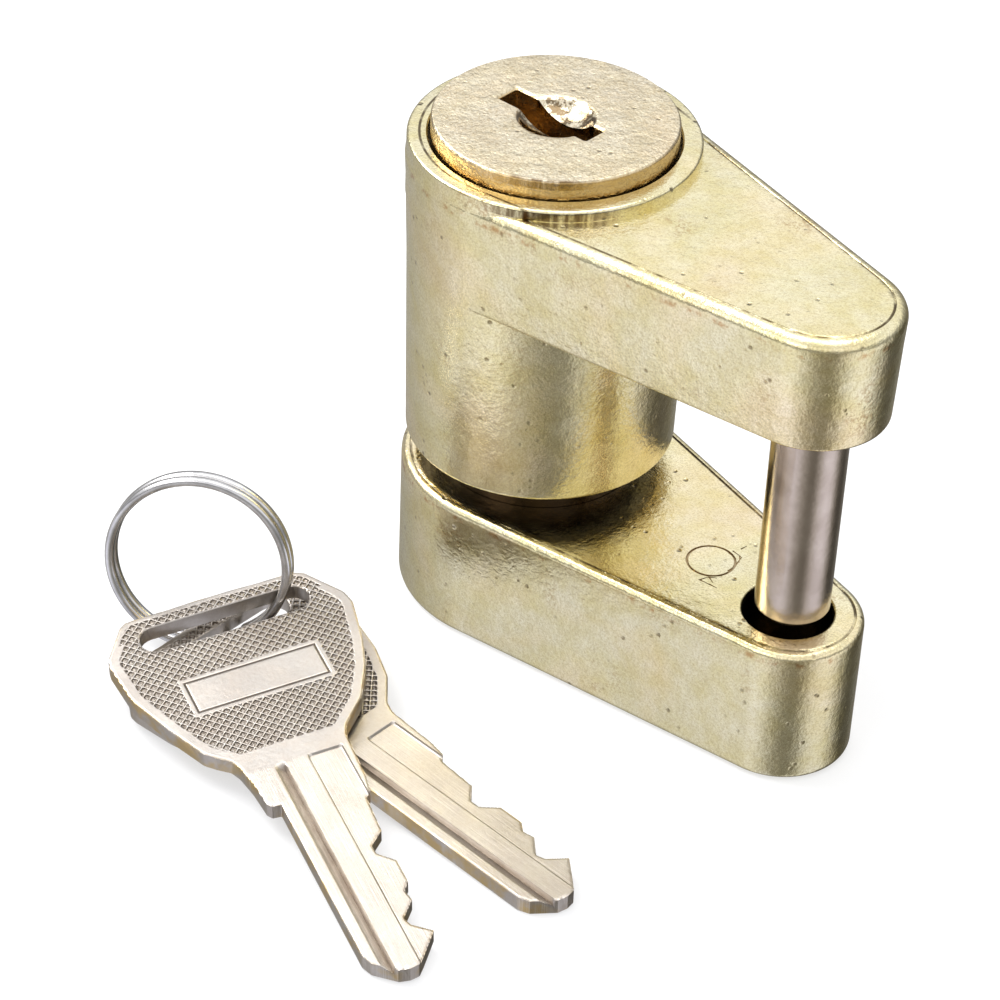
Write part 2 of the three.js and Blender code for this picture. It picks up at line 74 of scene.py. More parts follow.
# Keys: "along" runs from the tip, "across" over the width, the upper face is at height 0.
KEY_T = 1.5
SLOT_ALONG, SLOT_HALF, SLOT_R = 42.05, 7.7, 1.47
SLOT_CENTRE = SLOT_HALF - SLOT_R        # centres of the slot's round ends
PANEL_ALONG, PANEL_ACROSS, PANEL_W = 34.26, 11.9, 3.75
PANEL_LINE = 0.08                       # the frame line lies this far inside the panel
GRIP_PITCH, GRIP_TURN = 0.62, 43.0
GRIP_COS, GRIP_SIN = math.cos(math.radians(GRIP_TURN)), math.sin(math.radians(GRIP_TURN))

CAMERA_AZIMUTH = 45.11                  # the camera stands this far round from -Y towards +X


# ---------------------------------------------------------------- mesh helpers
def raw(name, verts, faces):
    mesh = bpy.data.meshes.new(name)
    points = np.asarray(verts, float) * MM
    mesh.from_pydata(points.tolist(), [], [list(map(int, f)) for f in faces])
    mesh.update()
    bm = bmesh.new()
    bm.from_mesh(mesh)
    bmesh.ops.remove_doubles(bm, verts=bm.verts, dist=1e-8)
    bmesh.ops.recalc_face_normals(bm, faces=bm.faces)
    bm.to_mesh(mesh)
    bm.free()
    return add_object(name, mesh)


def add_object(name, data):
    ob = bpy.data.objects.new(name, data)
    bpy.context.scene.collection.objects.link(ob)
    return ob


def bake(ob):
    """Applies the object's modifiers."""
    graph = bpy.context.evaluated_depsgraph_get()
    graph.update()
    mesh = bpy.data.meshes.new_from_object(ob.evaluated_get(graph))
    old = ob.data
    ob.modifiers.clear()
    ob.data = mesh
    bpy.data.meshes.remove(old)


def cut(target, tool, operation="DIFFERENCE"):
    """Combines target with tool, and removes the tool."""
    modifier = target.modifiers.new("b", "BOOLEAN")
    modifier.operation = operation
    modifier.object = tool
    modifier.solver = "MANIFOLD"
    bake(target)
    mesh = tool.data
    bpy.data.objects.remove(tool)
    bpy.data.meshes.remove(mesh)


def rounded(points, radius, steps=5, closed=True):
    """Rounds a 2-D path's corners. radius is one number or one for each point."""
    points = [np.array(p, float) for p in points]
    count = len(points)
    radii = [radius] * count if np.isscalar(radius) else list(radius)
    out = []
    for i, corner in enumerate(points):
        if (not closed and i in (0, count - 1)) or radii[i] <= 0:
            out.append(corner)
            continue
        before, after = points[i - 1] - corner, points[(i + 1) % count] - corner
        len1, len2 = np.linalg.norm(before), np.linalg.norm(after)
        if len1 < 1e-9 or len2 < 1e-9:
            out.append(corner)
            continue
        before, after = before / len1, after / len2
        angle = math.acos(max(-1, min(1, float(before @ after))))
        if angle > math.radians(176) or angle < 1e-3:
            out.append(corner)
            continue
        reach = min(radii[i] / math.tan(angle / 2), 0.45 * len1, 0.45 * len2)
        r = reach * math.tan(angle / 2)
        middle = (before + after) / np.linalg.norm(before + after)
        centre = corner + middle * (r / math.sin(angle / 2))
        start = math.atan2(*(corner + before * reach - centre)[::-1])
        end = math.atan2(*(corner + after * reach - centre)[::-1])
        sweep = (end - start + math.pi) % (2 * math.pi) - math.pi
        for j in range(steps + 1):
            t = start + sweep * j / steps
            out.append(centre + r * np.array([math.cos(t), math.sin(t)]))
    return out


def lathe(name, profile, seg=160, centre=(0, 0)):
    """Solid of revolution about +Z from (radius, z) points.

    The profile runs from axis to axis, or is a closed loop."""
    verts, faces, rows = [], [], []
    for r, z in [tuple(map(float, p)) for p in profile]:
        if r < 1e-9:
            rows.append([len(verts)])
            verts.append((centre[0], centre[1], z))
            continue
        rows.append(list(range(len(verts), len(verts) + seg)))
        for i in range(seg):
            t = 2 * math.pi * i / seg
            verts.append((centre[0] + r * math.cos(t), centre[1] + r * math.sin(t), z))
    pairs = list(zip(rows, rows[1:]))
    if profile[0][0] > 1e-9:
        pairs.append((rows[-1], rows[0]))
    for a, b in pairs:
        if len(a) == 1 and len(b) == 1:
            continue
        for i in range(seg):
            j = (i + 1) % seg
            if len(a) == 1:
                faces.append((a[0], b[j], b[i]))
            elif len(b) == 1:
                faces.append((a[i], a[j], b[0]))
            else:
                faces.append((a[i], a[j], b[j], b[i]))
    return raw(name, verts, faces)


def teardrop(big_r, small_r, length):
    """Outline of two circles, at the origin and at x = length, with their tangents."""
    def between(p, q):
        return [p + (q - p) * k / 10 for k in range(1, 10)]

    a = math.acos((big_r - small_r) / length)
    small_t = np.linspace(-a, a, 65)
    big_t = np.linspace(a, 2 * math.pi - a, 121)
    small = np.stack([length + small_r * np.cos(small_t), small_r * np.sin(small_t)], 1)
    big = np.stack([big_r * np.cos(big_t), big_r * np.sin(big_t)], 1)
    return np.array(list(small) + between(small[-1], big[0])
                    + list(big) + between(big[-1], small[0]))


def skin(name, verts, around):
    """Closed skin over rows of points, each row having the same number around."""
    last = len(verts) // around - 1
    faces = []
    for k in range(last):
        a, b = k * around, (k + 1) * around
        for i in range(around):
            j = (i + 1) % around
            faces.append((a + i, a + j, b + j, b + i))
    faces.append(tuple(range(around - 1, -1, -1)))
    faces.append(tuple(range(last * around, (last + 1) * around)))
    return raw(name, verts, faces)


def loft(name, rings):
    """Solid through (outline, z) rings."""
    verts = [(x, y, z) for outline, z in rings for x, y in outline]
    return skin(name, verts, len(rings[0][0]))


def prism(name, outline, z0, z1):
    points = [tuple(map(float, p)) for p in outline]
    n = len(points)
    verts = [(x, y, z0) for x, y in points] + [(x, y, z1) for x, y in points]
    faces = [tuple(range(n - 1, -1, -1)), tuple(range(n, 2 * n))]
    faces += [(i, (i + 1) % n, n + (i + 1) % n, n + i) for i in range(n)]
    return raw(name, verts, faces)


def rect(x0, x1, y0, y1):
    return [(x0, y0), (x1, y0), (x1, y1), (x0, y1)]


def box(x0, x1, y0, y1, z0, z1):
    return prism("tool", rect(x0, x1, y0, y1), z0, z1)


def circle(r, seg):
    return [(r * math.cos(t), r * math.sin(t)) for t in np.arange(seg) * 2 * math.pi / seg]


def quarter(r, steps=8):
    """(inset, height) pairs up a quarter-round fillet."""
    return [(r * (1 - math.cos(t)), r * math.sin(t))
            for t in np.linspace(0, math.pi / 2, steps + 1)]


def turn(ob, degrees):
    ob.data.transform(Matrix.Rotation(math.radians(degrees), 4, "Z"))
    return ob


def pose(x_axis, y_axis, z_axis, place):
    """Matrix from three axes and a place in metres."""
    matrix = Matrix.Identity(4)
    for row in range(3):
        for column, vector in enumerate((x_axis, y_axis, z_axis, place)):
            matrix[row][column] = vector[row]
    return matrix


def finish(ob, body, material, replaced=(), sharp=34, bevel=0.0, weighted=True):
    if bevel:
        modifier = ob.modifiers.new("bevel", "BEVEL")
        modifier.width = bevel * MM
        modifier.segments = 3
        modifier.limit_method = "ANGLE"
        modifier.angle_limit = math.radians(40)
        modifier.use_clamp_overlap = True
        bake(ob)
    bm = bmesh.new()
    bm.from_mesh(ob.data)
    bmesh.ops.remove_doubles(bm, verts=bm.verts, dist=2e-8)
    for face in bm.faces:
        face.smooth = True
    limit = math.radians(sharp)
    for edge in bm.edges:
        edge.smooth = not (len(edge.link_faces) == 2 and edge.calc_face_angle(0) > limit)
    bm.to_mesh(ob.data)
    bm.free()
    if weighted:
        modifier = ob.modifiers.new("wn", "WEIGHTED_NORMAL")
        modifier.mode = "FACE_AREA"
        modifier.weight = 50
        modifier.keep_sharp = True
    ob.data.materials.clear()
    ob.data.materials.append(material)
    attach(ob, body)
    if replaced:
        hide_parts(*replaced)


# ---------------------------------------------------------------- shader helpers
class Nodes:
    """Builds the node tree of a material or world. Shader lengths are in metres."""

    def __init__(self, owner, output="OutputMaterial"):
        self.owner = owner
        owner.use_nodes = True
        self.tree = owner.node_tree
        self.tree.nodes.clear()
        self.output = self.node(output)

    def node(self, kind, sockets=None, **settings):
        """Adds a node; sockets maps an input's name or index to a value or a link."""
        node = self.tree.nodes.new("ShaderNode" + kind)
        for key, value in settings.items():
            setattr(node, key, value)
        for key, value in (sockets or {}).items():
            if value is not None:
                self.feed(node.inputs[key], value)
        return node

    def feed(self, socket, value):
        if isinstance(value, (int, float)):
            socket.default_value = value
        elif isinstance(value, tuple):
            rgb_to_rgba = len(value) == 3 and len(socket.default_value) == 4
            socket.default_value = (*value, 1.0) if rgb_to_rgba else value
        else:
            self.tree.links.new(value, socket)

    @cached_property
    def coords(self):
        return self.node("TexCoord").outputs["Object"]

    def xyz(self):
        return self.node("SeparateXYZ", {0: self.coords}).outputs

    def mapped(self, scale, vector=None):
        return self.node("Mapping", {0: vector or self.coords, "Scale": scale}).outputs[0]

    def noise(self, scale, detail, rough, vector=None, distortion=0.0):
        return self.node("TexNoise", {
            "Scale": scale, "Detail": detail, "Roughness": rough, "Distortion": distortion,
            "Vector": vector or self.coords}).outputs["Fac"]

    def ramp(self, factor, stops):
        """Colour ramp from (position, rgb) stops."""
        node = self.node("ValToRGB", {0: factor})
        elements = node.color_ramp.elements
        while len(elements) < len(stops):
            elements.new(0.5)
        for element, (position, colour) in zip(elements, stops):
            element.position = position
            element.color = (*colour, 1)
        return node.outputs[0]

    def remap(self, value, source, target):
        return self.node("MapRange", {0: value, 1: source[0], 2: source[1],
                                      3: target[0], 4: target[1]}, clamp=True).outputs[0]

    def rise(self, value, start, end):
        return self.remap(value, (start, end), (0, 1))

    def fall(self, value, start, end):
        return self.remap(value, (start, end), (1, 0))

    def rise_mm(self, value, start, end):
        return self.rise(value, start * MM, end * MM)

    def fall_mm(self, value, start, end):
        return self.fall(value, start * MM, end * MM)

    def math(self, operation, a, b=0.0):
        return self.node("Math", {0: a, 1: b}, operation=operation).outputs[0]

    def add(self, a, b):
        return self.math("ADD", a, b)

    def sub(self, a, b):
        return self.math("SUBTRACT", a, b)

    def mul(self, product, *factors):
        for factor in factors:
            product = self.math("MULTIPLY", product, factor)
        return product

    def abs(self, value):
        return self.math("ABSOLUTE", value)

    def invert(self, value):
        return self.sub(1.0, value)

    def length(self, a, b):
        return self.math("SQRT", self.add(self.mul(a, a), self.mul(b, b)))

    def from_axis(self, x, y):
        """Offsets from an upright axis, the height, and the distance from the axis."""
        here = self.xyz()
        dx, dy = self.sub(here[0], x * MM), self.sub(here[1], y * MM)
        return dx, dy, here[2], self.length(dx, dy)

    def mix(self, factor, a, b):
        return self.node("Mix", {0: factor, 6: a, 7: b}, data_type="RGBA").outputs[2]

    def bump(self, height, strength, depth, normal=None):
        """depth is in millimetres."""
        return self.node("Bump", {"Strength": strength, "Distance": depth * MM,
                                  "Height": height, "Normal": normal}).outputs[0]

    def attribute(self, name):
        return self.node("Attribute", attribute_name=name).outputs["Fac"]

    def principled(self, colour, rough, metal=1.0, normal=None):
        return self.node("BsdfPrincipled", {
            "Base Color": colour, "Roughness": rough, "Metallic": metal,
            "Normal": normal}).outputs[0]

    def emission(self, colour, strength):
        return self.node("Emission", {0: colour, 1: strength}).outputs[0]

    def mix_shader(self, factor, a, b):
        return self.node("MixShader", {0: factor, 1: a, 2: b}).outputs[0]

    def done(self, shader):
        self.feed(self.output.inputs[0], shader)
        return self.owner


def srgb(*rgb):
    """Linear colour from 0-255 sRGB."""
    return tuple(((c / 255 + 0.055) / 1.055) ** 2.4 if c > 10 else c / 255 / 12.92
                 for c in rgb)


# ---------------------------------------------------------------- gold plating
SPECKLE_TAN, STAIN_BROWN, PIT_BROWN = srgb(168, 140, 88), srgb(158, 112, 58), srgb(104, 80, 46)
# painted shade in the rim groove, a real orange stain under the rim, and a painted dark reflection
# on a step
SEAM_SHADE, RIM_ORANGE, REFLECTION_DARK_BROWN = srgb(74, 56, 28), srgb(176, 118, 52), srgb(84, 54, 20)
# painted shade in marks and in holes
MARK_SHADE, HOLE_SHADE = srgb(124, 88, 40), srgb(70, 52, 32)
# painted dark reflections in the cup, and the tan of the face's side
CUP_DARK_REFLECTION, CUP_WALL_TAN = srgb(96, 72, 40), srgb(202, 164, 92)
# rose, straw and green patches of the passivated zinc: ramp position, colour
IRIDESCENCE = [(0.30, srgb(232, 196, 178)), (0.42, srgb(240, 222, 170)),
               (0.52, srgb(214, 216, 164)), (0.62, srgb(204, 212, 186)),
               (0.74, srgb(238, 214, 170))]


def teardrop_distance(n, x, y, big_r, small_r, length):
    """Signed distance to a teardrop's outline, negative inside."""
    def pick(flag, yes, no):
        return n.add(n.mul(flag, yes), n.mul(n.invert(flag), no))

    slope = (big_r - small_r) / length
    run = math.sqrt(1 - slope * slope)
    y = n.abs(y)
    along = n.add(n.mul(y, -slope), n.mul(x, run))
    side = n.sub(n.add(n.mul(y, run), n.mul(x, slope)), big_r * MM)
    big = n.sub(n.length(y, x), big_r * MM)
    small = n.sub(n.length(y, n.sub(x, length * MM)), small_r * MM)
    nearest = pick(n.math("LESS_THAN", along, 0.0), big, side)
    return pick(n.math("GREATER_THAN", along, run * length * MM), small, nearest)


def rim_seam_shade_and_stain(n, colour, outline, inset, top, fillet):
    """Painted shade in a teardrop's top groove, and real orange stains below the fillet."""
    here = n.xyz()
    distance = teardrop_distance(n, here[0], here[1], *outline)
    from_seam = n.abs(n.add(distance, inset * MM))
    broken = n.remap(n.noise(scale=420, detail=3, rough=0.6), (0.38, 0.54), (0.25, 1))
    # painted shade: dark seam along the top groove
    seam = n.mul(n.fall_mm(from_seam, 0.07, 0.15), n.rise_mm(here[2], top - 0.12, top - 0.08),
                 broken, 0.92)
    colour = n.mix(seam, colour, SEAM_SHADE)
    under = n.abs(n.sub(here[2], (top - fillet - 0.15) * MM))
    side_band = n.mul(n.fall_mm(under, 0.1, 0.42), n.rise_mm(distance, -0.6, -0.3),
                  n.rise(n.noise(scale=560, detail=4, rough=0.7), 0.52, 0.62), 0.6)
    return n.mix(side_band, colour, RIM_ORANGE)


def step_dark_reflection(n, colour, radius, z0, z1, heading, spread):
    """Painted dark reflection, broken into brown streaks, on one side of a round step."""
    dx, dy, z, r = n.from_axis(0, 0)
    heading = math.radians(heading)
    toward = n.add(n.mul(dx, math.cos(heading)), n.mul(dy, math.sin(heading)))
    toward = n.math("DIVIDE", toward, r)
    patch = n.rise(toward, math.cos(math.radians(spread)), math.cos(math.radians(spread * 0.45)))
    band = n.mul(n.rise_mm(z, z0 - 0.06, z0), n.fall_mm(z, z1, z1 + 0.04),
                 n.rise_mm(r, radius - 0.55, radius - 0.2))
    streaks = n.noise(scale=1500, detail=3, rough=0.6, vector=n.mapped((1, 1, 0.12)))
    streak_mask = n.remap(streaks, (0.36, 0.56), (0.25, 1))
    return n.mix(n.mul(patch, band, streak_mask, 0.85), colour, REFLECTION_DARK_BROWN)


def mark_shade(n, colour, centre, top, ring_r, half_width, reach):
    """Painted shade in the shallow marks on a flat top."""
    _, _, z, r = n.from_axis(*centre)
    inside = n.mul(n.fall_mm(r, reach - 0.1, reach), n.rise_mm(z, top - 0.5, top - 0.45))
    sunk = n.mul(inside, n.fall_mm(z, top - 0.05, top - 0.015))
    patchy = n.remap(n.noise(scale=520, detail=3, rough=0.7), (0.40, 0.58), (0.15, 1))
    ring = n.mul(n.fall_mm(n.abs(n.sub(r, ring_r * MM)), 0.06, half_width),
                 patchy, n.rise_mm(z, top - 0.5, top - 0.45))
    return n.mix(n.mul(n.math("MAXIMUM", sunk, ring), 0.7), colour, MARK_SHADE)


def hole_shade(n, colour, x, radius, top):
    """Painted shade: darkens the walls of an upright hole below its top."""
    _, _, z, r = n.from_axis(x, 0)
    deep = n.mul(n.fall_mm(r, radius + 0.02, radius + 0.12), n.fall_mm(z, top - 0.9, top))
    return n.mix(n.mul(deep, 0.86), colour, HOLE_SHADE)


def polish_cup(n, colour, rough, normal):
    """Smooth dimple in the face with blots of painted dark reflection, and tan tint on everything
    below the face.
    """
    x, y, z = n.xyz()
    cup = n.mul(n.fall_mm(n.length(x, y), 3.25, 3.4), n.rise_mm(z, 45.60, 45.65),
                n.fall_mm(z, 47.00, 47.04))
    rough = n.sub(rough, n.mul(cup, 0.27))
    # painted dark reflections in the polished dimple
    dark_reflections = n.rise(n.noise(scale=820, detail=3, rough=0.75), 0.47, 0.55)
    colour = n.mix(n.mul(cup, dark_reflections, 0.85), colour, CUP_DARK_REFLECTION)
    wall = n.fall_mm(z, 46.88, 47.02)
    colour = n.mix(n.mul(wall, n.invert(cup), 0.6), colour, CUP_WALL_TAN)
    rough = n.sub(rough, n.mul(wall, n.invert(cup), 0.12))
    flat = n.node("NewGeometry").outputs["Normal"]
    normal = n.node("Mix", {0: n.mul(cup, 0.8), 4: normal, 5: flat}, data_type="VECTOR").outputs[1]
    return colour, rough, normal


def gold(name, light=(250, 239, 202), dark=(236, 221, 166), rough=(0.15, 0.26), grain=0.55,
         speck=0.44, rim=None, side_band=None, mark=None, holes=(), cupped=False):
    """Gold plating. rim, mark, holes and the step band hold the arguments of the functions that
    paint shade in the rim groove, marks and holes, a dark reflection on a step, and stains under
    the rim.
    """
    n = Nodes(bpy.data.materials.new(name))
    fine = n.noise(scale=2600, detail=3, rough=0.65)
    mottle = n.rise(n.noise(scale=330, detail=4, rough=0.62), 0.36, 0.66)
    colour = n.mix(mottle, srgb(*light), srgb(*dark))
    patches = n.noise(scale=70, detail=2, rough=0.5, distortion=0.6)
    colour = n.mix(0.2, colour, n.ramp(patches, IRIDESCENCE))
    speckle = n.noise(scale=5200, detail=3, rough=0.75)
    colour = n.mix(n.remap(speckle, (0.42, 0.72), (0, speck)), colour, SPECKLE_TAN)
    # brown stains where the wash has pooled
    stain = n.mul(n.rise(n.noise(scale=150, detail=3, rough=0.6), 0.60, 0.72),
                  n.rise(fine, 0.45, 0.6), 0.45)
    colour = n.mix(stain, colour, STAIN_BROWN)
    # small dark pits, kept in patches
    cells = n.node("TexVoronoi", {"Scale": 760, "Vector": n.coords}).outputs["Distance"]
    kept = n.rise(n.noise(scale=380, detail=2, rough=0.5), 0.50, 0.60)
    pit = n.mul(n.fall(cells, 0.06, 0.2), kept, 0.6)
    colour = n.mix(pit, colour, PIT_BROWN)
    normal = n.bump(fine, strength=grain, depth=0.07)
    ripple = n.noise(scale=900, detail=2, rough=0.5)
    normal = n.bump(ripple, strength=grain * 0.7, depth=0.12, normal=normal)
    normal = n.bump(n.invert(pit), strength=0.7, depth=0.14, normal=normal)
    roughness = n.remap(n.noise(scale=700, detail=3, rough=0.6), (0.3, 0.7), rough)
    # painted shade in the rim groove, real stains below the fillet
    if rim:
        colour = rim_seam_shade_and_stain(n, colour, **rim)
    # painted dark reflection on one side of a step
    if side_band:
        colour = step_dark_reflection(n, colour, **side_band)
    # painted shade in the marks
    if mark:
        colour = mark_shade(n, colour, **mark)
    # painted shade in the holes
    for hole in holes:
        colour = hole_shade(n, colour, **hole)
    # painted dark reflections in the cup
    if cupped:
        colour, roughness, normal = polish_cup(n, colour, roughness, normal)
    return n.done(n.principled(colour, roughness, normal=normal))


# painted shade in the socket under the pin
SOCKET_SHADE = dict(x=SOCKET_X, radius=SOCKET_R, top=13.3)
GOLD_CASTING = gold(
    "gold_plated_casting",
    # painted shade in the arm's top groove, real stains under its fillet
    rim=dict(outline=(ARM_BIG_R, ARM_SMALL_R, ARM_LENGTH), inset=1.16, top=ARM_Z1,
             fillet=ARM_FILLET),
    # painted dark reflection on the boss's camera-facing side
    side_band=dict(radius=BOSS_R, z0=44.55, z1=45.25, heading=-47, spread=30),
    # painted shade in the socket and inside the head's bore and well
    holes=[SOCKET_SHADE, dict(x=0, radius=10.7, top=45.0)])
GOLD_BLOCK = gold(
    # painted shade in the base's top groove, real stains under its fillet
    "gold_plated_block",
    rim=dict(outline=(BASE_BIG_R, BASE_SMALL_R, BASE_LENGTH), inset=BASE_GROOVE_INSET,
             top=BASE_H, fillet=BASE_FILLET),
    # painted shade in the witness ring and the scratches
    mark=dict(centre=WITNESS, top=BASE_H, ring_r=2.05, half_width=0.16, reach=3.9),
    # painted shade in the socket and in the middle round the post
    holes=[SOCKET_SHADE, dict(x=0, radius=9.0, top=45.0)])
GOLD_FACE = gold(
    "gold_face", light=(248, 235, 212), dark=(230, 213, 184), rough=(0.28, 0.40), grain=1.2,
    # painted dark reflection on the face's camera-facing side
    speck=0.704, side_band=dict(radius=FACE_R, z0=46.3, z1=47.04, heading=-50, spread=26),
    cupped=True)


# ---------------------------------------------------------------- plain metals
def steel(name, light, dark, rough, grain=0.15, line_scale=None):
    """Mottled bare metal; line_scale stretches optional drawn lines."""
    n = Nodes(bpy.data.materials.new(name))
    mottle = n.rise(n.noise(scale=300, detail=3, rough=0.6), 0.35, 0.65)
    colour = n.mix(mottle, srgb(*light), srgb(*dark))
    fine = n.noise(scale=1800, detail=2, rough=0.5)
    normal = n.bump(fine, strength=grain, depth=0.03)
    if line_scale:
        lines = n.noise(scale=60, detail=3, rough=0.6, vector=n.mapped(line_scale))
        normal = n.bump(lines, strength=0.25, depth=0.04, normal=normal)
        shade = srgb(*[int(c * 0.7) for c in light])
        colour = n.mix(n.remap(lines, (0.3, 0.7), (0.0, 0.35)), colour, shade)
    roughness = n.remap(n.noise(scale=500, detail=2, rough=0.5), (0.3, 0.7), rough)
    return n.done(n.principled(colour, roughness, normal=normal))


PIN_STEEL = steel("ground_pin_steel", light=(202, 188, 174), dark=(186, 171, 157),
                  rough=(0.17, 0.24), grain=0.5)
POST_STEEL = steel("dark_post_steel", light=(58, 46, 36), dark=(36, 28, 22),
                   rough=(0.12, 0.3), line_scale=(1, 1, 30))
RING_STEEL = steel("ring_steel", light=(222, 220, 218), dark=(188, 186, 184),
                   rough=(0.16, 0.26), grain=0.3)
SPRING_STEEL = steel("spring_steel", light=(170, 170, 172), dark=(142, 142, 146),
                     rough=(0.2, 0.35))
ZINC = steel("zinc_alloy", light=(182, 180, 176), dark=(158, 156, 152),
             rough=(0.35, 0.5), grain=0.4)
BRASS = steel("wafer_brass", light=(214, 178, 104), dark=(190, 150, 84),
              rough=(0.22, 0.38), line_scale=(20, 1, 1))


# ---------------------------------------------------------------- key metal
def key_metal(name):
    """Reads the attributes written by make_key; along and across are in millimetres."""
    n = Nodes(bpy.data.materials.new(name))
    along, across = n.attribute("along"), n.attribute("across")
    flat = n.node("CombineXYZ", {0: along, 1: across}).outputs[0]
    brush = n.noise(scale=1.4, detail=4, rough=0.62, vector=n.mapped((0.12, 9.0, 1), flat))
    mottle = n.rise(n.noise(scale=300, detail=4, rough=0.6), 0.35, 0.65)
    colour = n.mix(mottle, srgb(194, 188, 180), srgb(183, 175, 166))
    speckle = n.noise(scale=3800, detail=3, rough=0.7)
    colour = n.mix(n.remap(speckle, (0.42, 0.72), (0, 0.3)), colour, srgb(170, 154, 136))
    patchy = n.remap(n.noise(scale=380, detail=3, rough=0.6), (0.46, 0.62), (0.05, 0.8))
    wear = n.mul(n.attribute("edge"), patchy)
    colour = n.mix(wear, colour, srgb(196, 168, 108))

    # grip: lattice of raised lines with square pits; painted shade darkens the pit walls and,
    # slightly, the pit floors
    def from_line(steps):
        return n.mul(n.abs(n.sub(steps, n.math("ROUND", steps))), GRIP_PITCH)

    cos, sin = GRIP_COS / GRIP_PITCH, GRIP_SIN / GRIP_PITCH
    p = n.add(n.mul(along, cos), n.mul(across, sin))
    q = n.add(n.mul(along, -sin), n.mul(across, cos))
    nearest = n.math("MINIMUM", from_line(p), from_line(q))
    grip = n.attribute("grip")
    cell = n.mul(n.rise(nearest, 0.05, 0.13), grip)
    core = n.mul(n.rise(nearest, 0.17, 0.25), grip)
    colour = n.mix(n.mul(n.sub(cell, core), 0.55), colour, srgb(92, 78, 64))
    colour = n.mix(n.mul(core, 0.08), colour, srgb(120, 104, 88))

    # frame line round the plain panel
    past_along = n.sub(n.abs(n.sub(along, PANEL_ALONG)), PANEL_W / 2)
    past_across = n.sub(n.abs(across), PANEL_ACROSS / 2)
    from_frame = n.abs(n.add(n.math("MAXIMUM", past_along, past_across), PANEL_LINE))
    line = n.mul(n.fall(from_frame, 0.05, 0.10), n.attribute("topside"))
    colour = n.mix(n.mul(line, 0.85), colour, srgb(74, 62, 52))
    # painted shade, darker where the warding groove is deeper
    colour = n.mix(n.mul(n.attribute("low"), 0.4), colour, srgb(120, 104, 88))

    # dark and bright brush strokes on the blade
    blade = n.attribute("blade")
    strokes = n.mul(blade, n.remap(brush, (0.56, 0.70), (0, 0.32)))
    colour = n.mix(strokes, colour, srgb(156, 143, 125))
    strokes = n.mul(blade, n.remap(brush, (0.48, 0.3), (0, 0.55)))
    colour = n.mix(strokes, colour, srgb(228, 223, 214))

    fine = n.noise(scale=2400, detail=2, rough=0.6)
    normal = n.bump(fine, strength=0.3, depth=0.05)
    normal = n.bump(n.mul(brush, blade), strength=0.4, depth=0.05, normal=normal)
    height = n.sub(n.mul(core, 0.45), n.add(cell, line))
    normal = n.bump(height, strength=1.0, depth=0.13, normal=normal)
    roughness = n.remap(n.noise(scale=600, detail=3, rough=0.6), (0.3, 0.7), (0.3, 0.42))
    return n.done(n.principled(colour, roughness, normal=normal))


KEY_METAL = key_metal("nickel_silver_key")

# ---------------------------------------------------------------- base block and post
# scratches round the ejector mark: (x, y) path, half width
SCRATCHES = [
    ([(21.65, 1.69), (22.46, 1.58), (23.18, 0.94)], 0.08),
    ([(21.68, 2.15), (22.55, 2.1), (23.16, 1.34)], 0.07),
    ([(23.3, -0.17), (23.22, 0.78), (22.75, 2.13)], 0.08),
    ([(21.94, 2.87), (21.98, 3.57)], 0.08),
    ([(22.55, -2.92), (22.77, -2.05), (23.36, -1.57)], 0.08),
    ([(22.61, -2.85), (23.48, -2.67), (24.29, -2.55)], 0.08),
    ([(22.82, -1.98), (23.61, -2.31)], 0.07),
]


def make_base():
    def section(inset=0):
        return teardrop(BASE_BIG_R - inset, BASE_SMALL_R - inset, BASE_LENGTH)

    foot = 0.75
    rings = [(section(inset), foot - h) for inset, h in quarter(foot)[::-1]]
    rings += [(section(), z) for z in (3, 6, 9, 11.5)]
    rings += [(section(inset), BASE_H - BASE_FILLET + h) for inset, h in quarter(BASE_FILLET)]
    # fine groove just inside the fillet: inset, depth below the top
    for inset, depth in ((0.76, 0.07), (BASE_GROOVE_INSET, 0.06), (0.92, 0), (1.3, 0)):
        rings.append((section(inset), BASE_H - depth))
    base = loft("base_block", rings)
    cut(base, lathe("tool", [
        (0, 4.5), (3.5, 4.5), (SOCKET_R, 4.85), (SOCKET_R, BASE_H - 0.28),
        (3.93, BASE_H - 0.12), (4.12, BASE_H + 0.0005), (4.2, 15), (0, 15)],
        120, (SOCKET_X, 0)))
    cut(base, lathe("tool", [(0, 3.2), (5.05, 3.2), (5.05, 15), (0, 15)], 96))
    # ejector witness: a shallow ring groove round a disc
    cut(base, lathe("tool", [
        (1.98, BASE_H - 0.12), (2.12, BASE_H - 0.12), (2.24, BASE_H + 0.3), (1.88, BASE_H + 0.3)],
        96, WITNESS))
    for path, half_width in SCRATCHES:
        for start, end in zip(path, path[1:]):
            start, end = np.array(start), np.array(end)
            ahead = (end - start) / np.linalg.norm(end - start)
            side = np.array([-ahead[1], ahead[0]]) * half_width
            outline = [start - side - ahead * 0.03, end - side * 0.4,
                       end + side * 0.4, start + side - ahead * 0.03]
            cut(base, prism("tool", outline, BASE_H - 0.1, BASE_H + 0.5))
    finish(base, "base", GOLD_BLOCK, ["base_body"], sharp=50)


def make_post():
    profile = rounded(
        [(0, 3.4), (5.0, 3.4), (5.0, 13.45), (9.0, 13.45), (9.0, 16.5), (3.6, 16.5),
         (3.6, 18.9), (5.0, 18.9), (5.0, 20.1), (0, 20.1)],
        [0, 0.3, 0, 0, 0.25, 0.4, 0.2, 0.15, 0.4, 0], 4, closed=False)
    finish(lathe("locking_post_turned", profile), "base", POST_STEEL,
           ["locking_post"])


# ---------------------------------------------------------------- head
def arm_r(z):
    return ARM_BIG_R - ARM_TAPER * (ARM_Z1 - z)


def arm_section(z, inset=0):
    small_r = ARM_SMALL_R - ARM_TAPER * (ARM_Z1 - z)
    return teardrop(arm_r(z) - inset, small_r - inset, ARM_LENGTH)


